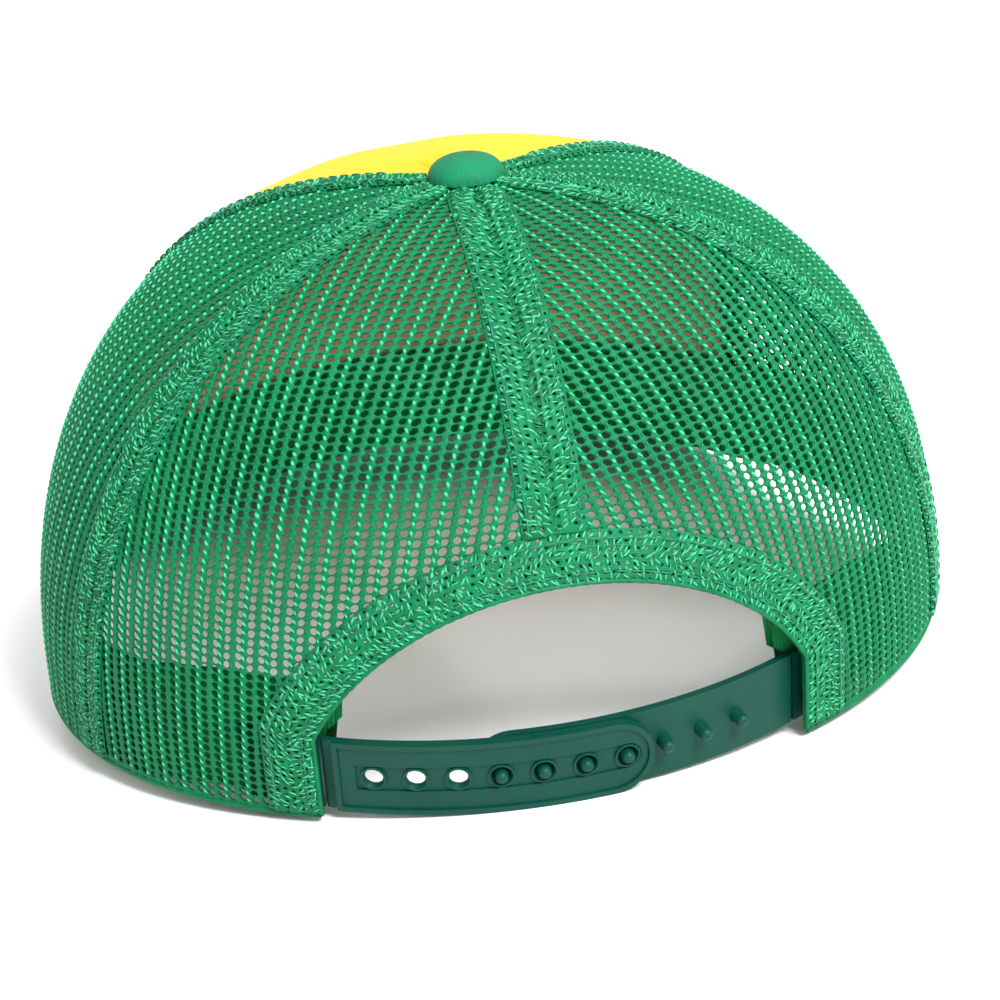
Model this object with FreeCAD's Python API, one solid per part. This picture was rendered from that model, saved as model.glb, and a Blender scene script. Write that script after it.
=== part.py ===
"""Five-panel trucker cap with a mesh back, a foam front and a two-part snap strap.

The cap is drawn in its own crown frame: the button stands on the +Z axis, the base edge
lies in the plane z = 0, the visor points to -Y and the strap closes the back at +Y.
The finished cap is then tipped to rest on its back edge and on the two low sides of the visor.
All lengths are in millimetres and all angles in degrees.
"""
import FreeCAD
import Part
import math
import os

V = FreeCAD.Vector

# Crown
half_width = 100.5           # base, from the middle to either side
back_reach = 88.0            # base, from the widest line to the back
front_reach = 114.0          # base, from the widest line to the front
button_set_back = 19.0       # how far the button stands behind the widest line
crown_height = 109.0
back_fullness = 2.0          # exponent of the side profile: 2 is an ellipse
front_fullness = 2.6         # a fuller profile stands up boxier
panel_top_angle = 87.5       # where the panels stop, just under the button

# Panels and their seams, as azimuths from the back
side_seam_top = 60.0
side_seam_base = 67.0
front_seam_top = 120.0
front_seam_base = 130.0
mesh_thickness = 1.0
cover_thickness = 0.8
foam_thickness = 3.0
layer_gap = 0.1              # between layers that are sewn together
base_lift = 1.6              # skins stop this far above the base edge

# Seam bands: the doubled mesh that lies over each seam
band_width = 11.4
band_thickness = 0.85
band_gap = 0.2               # between a band or the hem and the mesh under it
band_groove = 1.0            # half width of the groove along the seam
band_groove_depth = 0.5      # share of the band's thickness
band_top_angle = 83.5
band_share = 0.93            # of the room between two seams near the button

# Back opening
arch_half_width = 54.3       # of its ellipse, at the base
arch_height = 47.5
arch_leg_span = 49.8         # below the ellipse its legs stand upright, this far from the middle
hem_width = 10.0
hem_reach = 8.0              # the hem's stock stops this far short of the side seams, in degrees

# Sweatband
sweatband_height = 28.5
sweatband_core = 1.4
sweatband_skin = 0.7
sweatband_end = arch_leg_span - 3.8   # its end edge, from the middle line
sweatband_notch = 0.5        # clearance above the strap
notch_margin = 2.5           # the notch runs this far past the strap's hinge lines
foam_step = (12.0, 10.0)     # degrees behind the front seam, and the degrees it takes, to step onto the foam
tab_step = (7.0, 15.0)       # degrees behind the side seam, and the degrees it takes, to step over the tabs

# Snap strap
strap_height = 16.6
strap_bend = 0.940967        # its radius, as a share of the back's own at the base
strap_radius = strap_bend * half_width ** 2 / back_reach
strap_root = arch_leg_span - 2.3      # hinge line of either half, from the middle line
strap_bottom = 1.8           # at the roots: the strap leans, so its middle hangs lower
strap_web = 1.6
strap_rim_height = 0.5
strap_rim_width = 1.1
strap_rim_setback = 1.9      # from the hinge line to where the rims start
strap_channel = 5.8          # width of the sunk channel round the holes
strap_channel_depth = 0.4
strap_gap = 0.3              # between the two halves
strap_clearance = 0.5        # between the strap and the mesh it runs under
snap_pitch = 8.3
snap_count = 7
first_hole = strap_root - 7.9         # along the strap from the middle line
snaps_engaged = 4
hole_throat_radius = 1.8
hole_rim_radius = 2.25
hole_mouth_radius = 2.1
hole_lip_radius = 2.65       # the raised ring round each hole
hole_lip_rise = 0.15         # above the sunk track
peg_base_radius = 1.55
peg_tip_radius = 1.35
peg_length = 3.6
strap_end_margin = 5.6       # from the last snap to the tip of the strap
peg_strap_web = 1.5
tab_length = 17.0
tab_gap = 0.3                # between a strap's rounded root and its sewn tab

# Visor
visor_length = 67.0
visor_half_angle = 58.0      # how far its corners reach round the crown, from the front
visor_corner_share = 0.97    # the corners are cut off here
visor_outline = 2.3          # exponent of the outline
visor_board = 2.0
visor_cover = 0.8
visor_slope = 0.10
visor_curl = 0.40
visor_seat = 1.6             # height of the visor's middle layer at the crown
visor_gap = 0.2

# Button
button_radius = 7.9
button_height = 5.4
button_skin = 0.7
button_lift = 0.3
post_radius = 1.6
washer_radius = 6.0
washer_thickness = 1.0

cut_margin = 0.2             # how far a cutting tool starts outside the piece


def power(value, exponent):
    """A signed power, for superellipses."""
    return math.copysign(abs(value) ** exponent, value)


def fullness(azimuth):
    """Side profile exponent, which changes smoothly from the back to the front."""
    share = (1 - math.cos(math.radians(azimuth))) / 2
    return back_fullness + (front_fullness - back_fullness) * share


def crown_point(azimuth, rise, inset=0.0):
    """Point of the crown at an azimuth from the back and a rise from 0 (base) to 90 (button)."""
    turn = math.radians(azimuth)
    climb = math.radians(rise)
    n = fullness(azimuth)
    across = math.cos(climb) ** (2 / n)
    up = math.sin(climb) ** (2 / n)
    reach = (back_reach if math.cos(turn) > 0 else front_reach) - inset
    x = (half_width - inset) * math.sin(turn) * across
    y = reach * math.cos(turn) * across - button_set_back * (1 - up)
    return V(x, y, (crown_height - inset) * up)


def rise_at(azimuth, height, inset=0.0):
    """The rise at which the crown reaches a height."""
    share = max(height, 0) / (crown_height - inset)
    return math.degrees(math.asin(share ** (fullness(azimuth) / 2)))


def seam_azimuth(top, base, rise):
    """Seams swing from their azimuth at the button to the one at the base."""
    return top + (base - top) * math.cos(math.radians(rise))


def spread(low, high, count):
    return [low + (high - low) * i / (count - 1) for i in range(count)]


def surface(rows):
    sheet = Part.BSplineSurface()
    sheet.interpolate(rows)
    return sheet.toShape()


def slab(outer_rows, inner_rows):
    """Closed solid between two sheets that are given as matching grids of points."""
    outer = surface(outer_rows)
    inner = surface(inner_rows)
    sides = [Part.makeRuledSurface(a, b) for a, b in zip(outer.Edges, inner.Edges)]
    shell = Part.makeShell([outer, inner] + sides)
    shell.sewShape()
    solid = Part.makeSolid(shell)
    if solid.Volume < 0:
        solid.reverse()
    return solid


def crown_patch(left, right, low, high, outer_inset, inner_inset, across=11, along=15):
    """A curved plate on the crown.

    left and right give the side azimuths at a rise, low and high the rises of the two ends
    at an azimuth. An inset is a number, or a function of the azimuth and the share across.
    """
    def rows(inset):
        grid = []
        for i in range(across):
            row = []
            for j in range(along):
                azimuth = left(0) + (right(0) - left(0)) * i / (across - 1)
                rise = low(azimuth) + (high(azimuth) - low(azimuth)) * j / (along - 1)
                share = i / (across - 1)
                side = left(rise) + (right(rise) - left(rise)) * share
                depth = inset(side, share) if callable(inset) else inset
                row.append(crown_point(side, rise, depth))
            grid.append(row)
        return grid
    return slab(rows(outer_inset), rows(inner_inset))


def panel(left_seam, right_seam, outer_inset, inner_inset, lift=0.0):
    """One panel between two seams, from the base edge to the button."""
    return crown_patch(
        lambda rise: seam_azimuth(left_seam[0], left_seam[1], rise),
        lambda rise: seam_azimuth(right_seam[0], right_seam[1], rise),
        lambda azimuth: rise_at(azimuth, lift),
        lambda azimuth: panel_top_angle,
        outer_inset, inner_inset)


def arch_prism(grow=0.0):
    """The back opening's outline, grown all round, run through the back of the cap."""
    ellipse = Part.makeCylinder(1.0, back_reach, V(0, 0, 0), V(0, 1, 0))
    stretch = FreeCAD.Matrix()
    stretch.A11 = arch_half_width + grow
    stretch.A33 = arch_height + grow
    span = arch_leg_span + grow
    legs = Part.makeBox(2 * span, back_reach, 4 * arch_height, V(-span, 0, -2 * arch_height))
    return ellipse.transformGeometry(stretch).common(legs)


seams = {
    "center": (0.0, 0.0),
    "left_side": (side_seam_top, side_seam_base),
    "right_side": (-side_seam_top, -side_seam_base),
    "left_front": (front_seam_top, front_seam_base),
    "right_front": (-front_seam_top, -front_seam_base),
}
front_wrap = (360 - front_seam_top, 360 - front_seam_base)


def mesh_panels():
    """Four mesh panels: the two at the back are cut away round the opening."""
    opening = arch_prism()
    return {
        "mesh_back_left": panel(seams["center"], seams["left_side"], 0, mesh_thickness).cut(opening),
        "mesh_back_right": panel(seams["right_side"], seams["center"], 0, mesh_thickness).cut(opening),
        "mesh_side_left": panel(seams["left_side"], seams["left_front"], 0, mesh_thickness),
        "mesh_side_right": panel(seams["right_front"], seams["right_side"], 0, mesh_thickness),
    }


def front_panel():
    """The front is a fabric cover on a sheet of foam."""
    foam_top = cover_thickness + layer_gap
    return {
        "front_cover": panel(seams["left_front"], front_wrap, 0, cover_thickness),
        "front_foam": panel(seams["left_front"], front_wrap, foam_top, foam_top + foam_thickness),
    }


def half_band_angle(seam, rise):
    """Half the angle that a seam band covers: its width, or less where the seams crowd."""
    azimuth = seam_azimuth(seam[0], seam[1], rise)
    point = crown_point(azimuth, rise)
    radius = math.hypot(point.x, point.y + button_set_back * (1 - point.z / crown_height))
    room = side_seam_top / 2 * band_share
    return min(math.degrees(math.atan2(band_width / 2, radius)), room)


def seam_band(seam, low_height):
    """A strip of folded mesh along a seam, with the seam's groove down its middle."""
    def edge(side):
        return lambda rise: seam_azimuth(seam[0], seam[1], rise) + side * half_band_angle(seam, rise)

    def grooved(azimuth, share):
        off_seam = (share - 0.5) * band_width / band_groove
        return -band_thickness * (1 - band_groove_depth * math.exp(-off_seam ** 2))
    return crown_patch(
        edge(-1), edge(1),
        lambda azimuth: rise_at(azimuth, low_height),
        lambda azimuth: band_top_angle,
        grooved, -band_gap, across=13, along=21)


def seam_bands():
    """The bands stop above the base edge, and those in front above the visor."""
    over_visor = visor_seat + visor_board / 2 + layer_gap + visor_cover + 3 * layer_gap
    bands = {}
    for name, seam in seams.items():
        bands["seam_band_" + name] = seam_band(seam, over_visor if "front" in name else base_lift)
    outer = arch_prism(hem_width + layer_gap)
    bands["seam_band_center"] = bands["seam_band_center"].cut(outer)
    return bands


def arch_hem():
    """The folded hem that runs round the back opening, down to the base edge."""
    reach = side_seam_base - hem_reach
    plate = crown_patch(
        lambda rise: -reach, lambda rise: reach,
        lambda azimuth: rise_at(azimuth, base_lift),
        lambda azimuth: rise_at(azimuth, arch_height + 2 * hem_width),
        -band_thickness, -band_gap, across=25, along=11)
    outer = arch_prism(hem_width)
    opening = arch_prism()
    return {"back_arch_hem": plate.common(outer).cut(opening)}


def ease(value):
    """A smooth step from 0 to 1."""
    share = min(max(value, 0.0), 1.0)
    return share * share * (3 - 2 * share)


def sweatband_inset(azimuth, share=0):
    """The sweatband lies on the mesh, on the foam in front, and inside the strap's tabs behind."""
    off_center = min(azimuth, 360 - azimuth)
    on_mesh = mesh_thickness + 2 * layer_gap
    on_foam = cover_thickness + foam_thickness + 3 * layer_gap
    on_tabs = root_inset + strap_gap + peg_strap_web + 2 * layer_gap
    to_foam = ease((off_center - (front_seam_base - foam_step[0])) / foam_step[1])
    to_tabs = ease((side_seam_base - tab_step[0] - off_center) / tab_step[1])
    return on_mesh + (on_foam - on_mesh) * to_foam + (on_tabs - on_mesh) * to_tabs


def sweatband():
    """A folded band inside the base: a firm core and the soft skin that meets the head."""
    start = math.degrees(math.asin(sweatband_end / half_width))
    pieces = {}
    layers = (("sweatband_core", 0, sweatband_core, 0.0),
              ("sweatband_skin", sweatband_core + layer_gap, sweatband_core + layer_gap + sweatband_skin, 1.0))
    notch_height = strap_bottom + strap_height + sweatband_notch
    notch_side = strap_root + notch_margin
    notch = Part.makeBox(2 * notch_side, back_reach, notch_height + 10, V(-notch_side, 0, -10))
    for name, near, far, lift in layers:
        ring = crown_patch(
            lambda rise: start, lambda rise: 360 - start,
            lambda azimuth, lift=lift: rise_at(azimuth, lift),
            lambda azimuth: rise_at(azimuth, sweatband_height),
            lambda azimuth, share, near=near: sweatband_inset(azimuth) + near,
            lambda azimuth, share, far=far: sweatband_inset(azimuth) + far,
            across=61, along=5)
        pieces[name] = ring.cut(notch)
    return pieces


def base_back_y(x, inset):
    """Where the back of the base edge lies at a distance from the middle line."""
    return (back_reach - inset) * math.sqrt(1 - (x / (half_width - inset)) ** 2) - button_set_back


# The strap's halves meet on one arc, which runs under the mesh at the roots.
root_inset = mesh_thickness + strap_clearance + strap_web + strap_rim_height
root_y = base_back_y(strap_root, root_inset)
arc_center = V(0, root_y - math.sqrt(strap_radius ** 2 - strap_root ** 2), 0)
root_angle = math.degrees(math.asin(strap_root / strap_radius))


def wall_lean():
    """How far the wall beside the strap leans out from upright."""
    azimuth = math.degrees(math.asin(strap_root / half_width))
    foot = crown_point(azimuth, 0)
    top = crown_point(azimuth, rise_at(azimuth, strap_height))
    return math.degrees(math.atan2(top.y - foot.y, top.z - foot.z))


def lean(piece):
    """Tip a piece of the strap outward with the wall beside it."""
    return piece.rotate(V(0, root_y, 0), V(1, 0, 0), -wall_lean())


def strap_angle(along):
    """Angle round the arc for a length along the strap from the middle line."""
    return math.degrees(along / strap_radius)


def strap_direction(along):
    angle = math.radians(strap_angle(along))
    return V(math.sin(angle), math.cos(angle), 0)


def ring_sector(inner_radius, outer_radius, low, high, start, stop):
    """Part of an upright tube round the arc's centre, between two angles toward +X."""
    tube = Part.makeCylinder(outer_radius, high - low, arc_center + V(0, 0, low), V(0, 0, 1), stop - start)
    core = Part.makeCylinder(inner_radius, high - low + 2, arc_center + V(0, 0, low - 1))
    tube.rotate(arc_center, V(0, 0, 1), 90 - stop)
    return tube.cut(core)


def strap_plate(inner_radius, outer_radius, root, tip, inset=0.0):
    """A strap from its root angle to a rounded tip, with its edges inset all round."""
    half = strap_height / 2 - inset
    middle = strap_bottom + strap_height / 2
    turn = strap_angle(half) * math.copysign(1, root - tip)
    end = tip + turn
    low, high = min(root, end), max(root, end)
    body = ring_sector(inner_radius, outer_radius, middle - half, middle + half, low, high)
    direction = strap_direction(math.radians(end) * strap_radius)
    start = arc_center + direction * (inner_radius - 2) + V(0, 0, middle)
    disc = Part.makeCylinder(half, outer_radius - inner_radius + 4, start, direction)
    slack = strap_angle(strap_height)
    cap = ring_sector(inner_radius, outer_radius, middle - half, middle + half, end - slack, end + slack)
    return body.fuse(cap.common(disc)).removeSplitter()


def root_bead(radius, thickness, side):
    """Rounded root of a strap, centred on its hinge line."""
    direction = strap_direction(math.radians(root_angle) * strap_radius)
    place = arc_center + V(direction.x * side, direction.y, 0) * (radius + thickness / 2)
    place = place + V(0, 0, strap_bottom)
    return Part.makeCylinder(thickness / 2, strap_height, place), place


hole_inner = strap_radius + strap_gap / 2
hole_web_outer = hole_inner + strap_web
peg_outer = strap_radius - strap_gap / 2
peg_inner = peg_outer - peg_strap_web
middle_height = strap_bottom + strap_height / 2


def hole_places():
    return [first_hole - snap_pitch * i for i in range(snap_count)]


def peg_places():
    first = hole_places()[snap_count - snaps_engaged]
    return [first - snap_pitch * i for i in range(snap_count)]


def hole_strap():
    """Outer half: a sunk track with raised rims and a row of flared holes."""
    tip = strap_angle(hole_places()[-1] - strap_end_margin)
    raised = root_angle - strap_angle(strap_rim_setback)
    strap = strap_plate(hole_inner, hole_web_outer + strap_rim_height, raised, tip)
    track = strap_plate(hole_web_outer, hole_web_outer + 3, raised - strap_angle(strap_rim_width),
                        tip + strap_angle(strap_rim_width), strap_rim_width)
    channel_inset = (strap_height - strap_channel) / 2
    channel = strap_plate(hole_web_outer - strap_channel_depth, hole_web_outer + 3,
                          strap_angle(first_hole + strap_channel * 0.6),
                          tip + strap_angle(strap_end_margin - strap_channel / 2), channel_inset)
    strap = strap.cut(track.fuse(channel))
    strap = strap.fuse(strap_plate(hole_inner, hole_web_outer - strap_channel_depth, root_angle, tip))
    bead, pivot = root_bead(hole_inner, strap_web - strap_channel_depth, 1)
    strap = strap.fuse(bead)
    waist_share = 0.45
    for along in hole_places():
        direction = strap_direction(along)
        middle = arc_center + V(0, 0, middle_height)
        inner_face = middle + direction * hole_inner
        waist = inner_face + direction * strap_web * waist_share
        lip_height = strap_web * (1 - waist_share) + hole_lip_rise
        strap = strap.fuse(Part.makeCylinder(hole_lip_radius, lip_height, waist, direction))
        mouth_depth = strap_web * waist_share + cut_margin
        flare_depth = lip_height + cut_margin
        widening = (hole_rim_radius - hole_throat_radius) / lip_height
        mouth = Part.makeCone(hole_mouth_radius, hole_throat_radius, mouth_depth,
                              inner_face - direction * cut_margin, direction)
        flare = Part.makeCone(hole_throat_radius, hole_throat_radius + widening * flare_depth,
                              flare_depth, waist, direction)
        strap = strap.cut(mouth.fuse(flare))
    lean(strap)
    return {"strap_half_holes": strap}, pivot


def peg_strap():
    """Inner half: a plain strap with a row of tapered pegs that point out through the holes."""
    tip = strap_angle(peg_places()[0] + strap_end_margin)
    strap = strap_plate(peg_inner, peg_outer, -root_angle, tip)
    bead, pivot = root_bead(peg_inner, peg_strap_web, -1)
    strap = strap.fuse(bead)
    for along in peg_places():
        direction = strap_direction(along)
        foot = arc_center + direction * (peg_outer - 0.4) + V(0, 0, middle_height)
        peg = Part.makeCone(peg_base_radius, peg_tip_radius, peg_length + 0.4 - peg_tip_radius, foot, direction)
        crest = foot + direction * (peg_length + 0.4 - peg_tip_radius)
        strap = strap.fuse([peg, Part.makeSphere(peg_tip_radius, crest)])
    lean(strap)
    return {"strap_half_pegs": strap}, pivot


def strap_tabs():
    """The two sewn ends, held between the mesh and the sweatband."""
    pieces = {}
    layers = (("strap_tab_holes", hole_inner, hole_web_outer - strap_channel_depth, 1),
              ("strap_tab_pegs", peg_inner, peg_outer, -1))
    for name, inner_radius, outer_radius, side in layers:
        near = root_angle + strap_angle((outer_radius - inner_radius) / 2 + tab_gap)
        far = near + strap_angle(tab_length)
        start, stop = sorted((side * near, side * far))
        low = strap_bottom
        high = strap_bottom + strap_height
        pieces[name] = ring_sector(inner_radius, outer_radius, low, high, start, stop)
        lean(pieces[name])
    return pieces


def visor_rows(offset, trim=0.0):
    """Grid of points over the visor: from the crown's edge out to the visor's rim."""
    corner_x = half_width * math.sin(math.radians(visor_half_angle))
    corner_y = -front_reach * math.cos(math.radians(visor_half_angle)) - button_set_back
    length = front_reach + button_set_back + visor_length + corner_y
    rows = []
    for share in spread(-visor_corner_share, visor_corner_share, 25):
        turn = math.radians(visor_half_angle) * share
        inner = V((half_width + visor_gap) * math.sin(turn),
                  -(front_reach + visor_gap) * math.cos(turn) - button_set_back, 0)
        sweep = math.radians(90 * share)
        outer = V(corner_x * power(math.sin(sweep), 2 / visor_outline),
                  corner_y - length * power(math.cos(sweep), 2 / visor_outline), 0)
        run = (outer - inner).Length
        reach = (run - trim) / run
        row = []
        for along in spread(0, reach, 9):
            place = inner + (outer - inner) * along
            droop = run * along * (visor_slope + visor_curl * (place.x / corner_x) ** 2)
            row.append(place + V(0, 0, visor_seat + offset - droop))
        rows.append(row)
    return rows


def visor():
    """A stiff board between two fabric covers."""
    half = visor_board / 2
    skin = half + layer_gap
    return {
        "visor_board": slab(visor_rows(half, 1.2), visor_rows(-half, 1.2)),
        "visor_top_cover": slab(visor_rows(skin + visor_cover), visor_rows(skin)),
        "visor_under_cover": slab(visor_rows(-skin), visor_rows(-skin - visor_cover)),
    }


def dome(radius, height):
    """The part of a ball that stands on z = 0 with a given foot radius and height."""
    ball = (radius ** 2 + height ** 2) / (2 * height)
    sphere = Part.makeSphere(ball, V(0, 0, height - ball))
    return sphere.common(Part.makeBox(3 * ball, 3 * ball, ball, V(-1.5 * ball, -1.5 * ball, 0)))


def button():
    """Fabric-covered button, its shell, and the post and washer that hold it from inside."""
    inside = mesh_thickness + foam_thickness + cover_thickness
    foot = V(0, 0, crown_height + button_lift)
    hollow = dome(button_radius - button_skin, button_height - button_skin)
    cover = dome(button_radius, button_height).cut(hollow)
    shell = dome(button_radius - button_skin - layer_gap, button_height - button_skin - layer_gap)
    post = Part.makeCylinder(post_radius, inside + button_lift + 1, V(0, 0, -button_lift - inside - 1))
    washer = Part.makeCylinder(washer_radius, washer_thickness, V(0, 0, -button_lift - inside - washer_thickness))
    washer = washer.cut(Part.makeCylinder(post_radius + layer_gap, 3 * washer_thickness,
                                          V(0, 0, -button_lift - inside - 2 * washer_thickness)))
    pieces = {"button_cover": cover, "button_shell": shell.fuse(post), "button_washer": washer}
    return {name: piece.translated(foot) for name, piece in pieces.items()}


def resting_tilt():
    """The cap leans back on its base edge until the visor's low sides touch the ground too."""
    steepest = 0.0
    heel = V(0, base_back_y(strap_root, 0), 0)
    for row in visor_rows(-visor_board / 2 - layer_gap - visor_cover):
        for point in row:
            steepest = max(steepest, math.degrees(math.atan2(-point.z, heel.y - point.y)))
    return steepest


def build():
    pieces = {}
    for group in (mesh_panels(), front_panel(), seam_bands(), arch_hem(), sweatband(),
                  strap_tabs(), visor(), button()):
        pieces.update(group)
    holes, hole_pivot = hole_strap()
    pegs, peg_pivot = peg_strap()
    pieces.update(holes)
    pieces.update(pegs)
    return pieces, {"hole strap": hole_pivot, "peg strap": peg_pivot}


def main():
    os.makedirs("parts", exist_ok=True)
    pieces, pivots = build()
    tilt = resting_tilt()
    for piece in pieces.values():
        piece.rotate(V(0, 0, 0), V(1, 0, 0), -tilt)
    box = FreeCAD.BoundBox()
    for piece in pieces.values():
        box.add(piece.optimalBoundingBox(False))
    shift = V(-box.Center.x, -box.Center.y, -box.ZMin)
    turn = FreeCAD.Rotation(V(1, 0, 0), -tilt)
    for name, piece in pieces.items():
        placed = piece.translated(shift)
        placed.exportStep("parts/" + name + ".step")
        print(name, placed.isValid(), len(placed.Solids), round(placed.Volume, 1))
    tip_out = FreeCAD.Rotation(V(1, 0, 0), -wall_lean())
    root = V(0, root_y, 0)
    for name, pivot in pivots.items():
        print("pivot of the", name, turn.multVec(tip_out.multVec(pivot - root) + root) + shift)
    print("hinge axis", turn.multVec(tip_out.multVec(V(0, 0, 1))), "tilt", round(tilt, 4), "shift", shift)
    print("size", box.XLength, box.YLength, box.ZLength)


main()
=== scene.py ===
"""Visual model of a five-panel trucker cap: knitted net at the back, foam front, snap strap.

Shapes are drawn in the crown's own frame, in millimetres: the button stands on the +Z axis, the
base edge lies in z = 0, the visor points to -Y and the strap closes the back at +Y. Azimuths run
from the back towards +X, and a rise runs from 0 at the base edge to 90 at the button.
"""
import math

import bpy
import numpy as np
from mathutils import Matrix, Vector


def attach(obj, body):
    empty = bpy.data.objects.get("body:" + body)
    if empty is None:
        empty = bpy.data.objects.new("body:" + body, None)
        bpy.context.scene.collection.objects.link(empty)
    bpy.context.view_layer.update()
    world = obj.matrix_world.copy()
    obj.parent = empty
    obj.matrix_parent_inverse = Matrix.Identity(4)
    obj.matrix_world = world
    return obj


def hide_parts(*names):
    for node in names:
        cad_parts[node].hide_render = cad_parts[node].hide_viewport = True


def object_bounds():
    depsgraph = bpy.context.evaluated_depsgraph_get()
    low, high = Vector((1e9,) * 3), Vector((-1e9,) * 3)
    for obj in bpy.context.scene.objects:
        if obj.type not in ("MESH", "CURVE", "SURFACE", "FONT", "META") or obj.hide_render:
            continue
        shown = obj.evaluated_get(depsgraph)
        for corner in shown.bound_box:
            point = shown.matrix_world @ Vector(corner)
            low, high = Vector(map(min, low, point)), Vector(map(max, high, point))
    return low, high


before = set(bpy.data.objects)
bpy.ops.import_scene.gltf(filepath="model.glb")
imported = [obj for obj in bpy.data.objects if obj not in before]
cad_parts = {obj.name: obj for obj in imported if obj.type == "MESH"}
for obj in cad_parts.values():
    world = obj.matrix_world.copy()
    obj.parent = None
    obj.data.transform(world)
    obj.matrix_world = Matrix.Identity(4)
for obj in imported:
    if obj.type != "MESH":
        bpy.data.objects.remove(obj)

bl_info = {
    "name": "Trucker Mesh Cap",
    "version": (1, 0, 0),
    "blender": (4, 5, 0),
    "location": "3D View > Sidebar > Cap",
    "description": "Builds a mesh-backed cap's net, foam, cloth, stitching and strap on its CAD frame",
    "category": "Object",
}

CAD_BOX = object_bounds()
CROWN = "crown"

# The crown's frame in the row's frame
TILT = math.radians(4.6184)
SHIFT = np.array((0.0, 63.431, 5.556))

# Crown, panels and seams, as in the CAD model
HALF_WIDTH = 100.5
BACK_REACH = 88.0
FRONT_REACH = 114.0
BUTTON_SET_BACK = 19.0
CROWN_HEIGHT = 109.0
BACK_FULLNESS = 2.0
FRONT_FULLNESS = 2.6
PANEL_TOP = 87.5
SIDE_SEAM = (60.0, 67.0)
FRONT_SEAM = (120.0, 130.0)
NET_THICKNESS = 1.0
LAYER_GAP = 0.1
BAND_HALF = 5.7
BAND_THICKNESS = 0.85
BAND_TOP = 87.2
BAND_LAP = 1.2
BAND_ROOM = 30 * 0.93
BASE_LIFT = 1.6
FRONT_LIFT = 3.8
ARCH_WIDTH = 54.3
ARCH_HEIGHT = 47.5
ARCH_LEG = 49.8
HEM_WIDTH = 10.0
SWEATBAND_HEIGHT = 28.5
SWEATBAND_THICKNESS = 2.2
SWEATBAND_END = 47.8
SWEATBAND_STEP = 2.2
STRAP_TOP = 20.2
VISOR_LENGTH = 67.0
VISOR_ANGLE = 58.0
VISOR_CORNER = 0.97
VISOR_OUTLINE = 2.3
VISOR_SLOPE = 0.10
VISOR_CURL = 0.40
VISOR_SEAT = 1.6
VISOR_HALF = 1.9
VISOR_ROWS = 6
VISOR_ROW_PITCH = 7.0
SWEATBAND_ROWS = (4.2, 25.6)
HEM_ROWS = (2.4, 8.6)
DARTS = (158.0, 202.0)
BUTTON_RADIUS = 7.9
BUTTON_HEIGHT = 4.7
BUTTON_LIFT = 0.3
BUTTON_RIB_PITCH = 0.5

# The camera looks at a point of the crown's frame; its turns are in degrees
CAMERA_AIM = (-3.99, -19.52, 27.94)
CAMERA_AWAY = 568.0
CAMERA_TURNS = (170.718, 23.85, -5.274)
CAMERA_LENS = 91.25

# Name, place from the cap's middle in metres, size in metres and power in watts of each lamp
LAMPS = (("key", (-0.4, 1.05, 1.05), 0.5, 32.0),
         ("fill", (-1.3, 0.5, 0.7), 1.2, 5.0),
         ("top", (0.0, -0.7, 1.6), 1.2, 6.0))
WORLD_STRENGTH = 0.85


def to_row(points):
    """Crown frame in millimetres to the row's frame in metres."""
    points = np.asarray(points, float)
    x, y, z = points[..., 0], points[..., 1], points[..., 2]
    c, s = math.cos(TILT), math.sin(TILT)
    return (np.stack((x, y * c + z * s, z * c - y * s), -1) + SHIFT) / 1000


def ease(value):
    share = np.clip(value, 0.0, 1.0)
    return share * share * (3 - 2 * share)


def power(value, exponent):
    return np.sign(value) * np.abs(value) ** exponent


def unit(vectors):
    return vectors / np.maximum(np.linalg.norm(vectors, axis=-1, keepdims=True), 1e-12)


# The crown's surface

def fullness(azimuth):
    share = (1 - np.cos(np.radians(azimuth))) / 2
    return BACK_FULLNESS + (FRONT_FULLNESS - BACK_FULLNESS) * share


def crown(azimuth, rise, inset=0.0):
    """Points of the crown, inset from its outer face."""
    azimuth, rise, inset = np.broadcast_arrays(azimuth, rise, inset)
    turn, n = np.radians(azimuth), fullness(azimuth)
    across = np.cos(np.radians(rise)) ** (2 / n)
    up = np.sin(np.radians(rise)) ** (2 / n)
    reach = np.where(np.cos(turn) > 0, BACK_REACH, FRONT_REACH) - inset
    return np.stack(((HALF_WIDTH - inset) * np.sin(turn) * across,
                     reach * np.cos(turn) * across - BUTTON_SET_BACK * (1 - up),
                     (CROWN_HEIGHT - inset) * up), -1)


def rise_at(azimuth, height, inset=0.0):
    share = np.clip(height, 0, None) / (CROWN_HEIGHT - inset)
    return np.degrees(np.arcsin(np.clip(share, 0, 1) ** (fullness(azimuth) / 2)))


def back_point(x, z, inset):
    """The point at the back of the crown that has this x and z."""
    x, z, inset = np.broadcast_arrays(x, z, inset)
    n = np.full(x.shape, BACK_FULLNESS)
    for _ in range(5):
        rise = np.arcsin(np.clip(z / (CROWN_HEIGHT - inset), 0, 1) ** (n / 2))
        across = np.cos(rise) ** (2 / n)
        azimuth = np.degrees(np.arcsin(np.clip(x / ((HALF_WIDTH - inset) * across), -1, 1)))
        n = fullness(azimuth)
    return crown(azimuth, np.degrees(rise), inset)


def seam_azimuth(seam, rise):
    return seam[0] + (seam[1] - seam[0]) * np.cos(np.radians(rise))


def in_opening(points, grow=0.0):
    """Whether points lie in the back opening's outline, grown all round."""
    x, y, z = points[..., 0], points[..., 1], points[..., 2]
    oval = (x / (ARCH_WIDTH + grow)) ** 2 + (z / (ARCH_HEIGHT + grow)) ** 2 < 1
    return oval & (np.abs(x) < ARCH_LEG + grow) & (y > 0)


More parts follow.
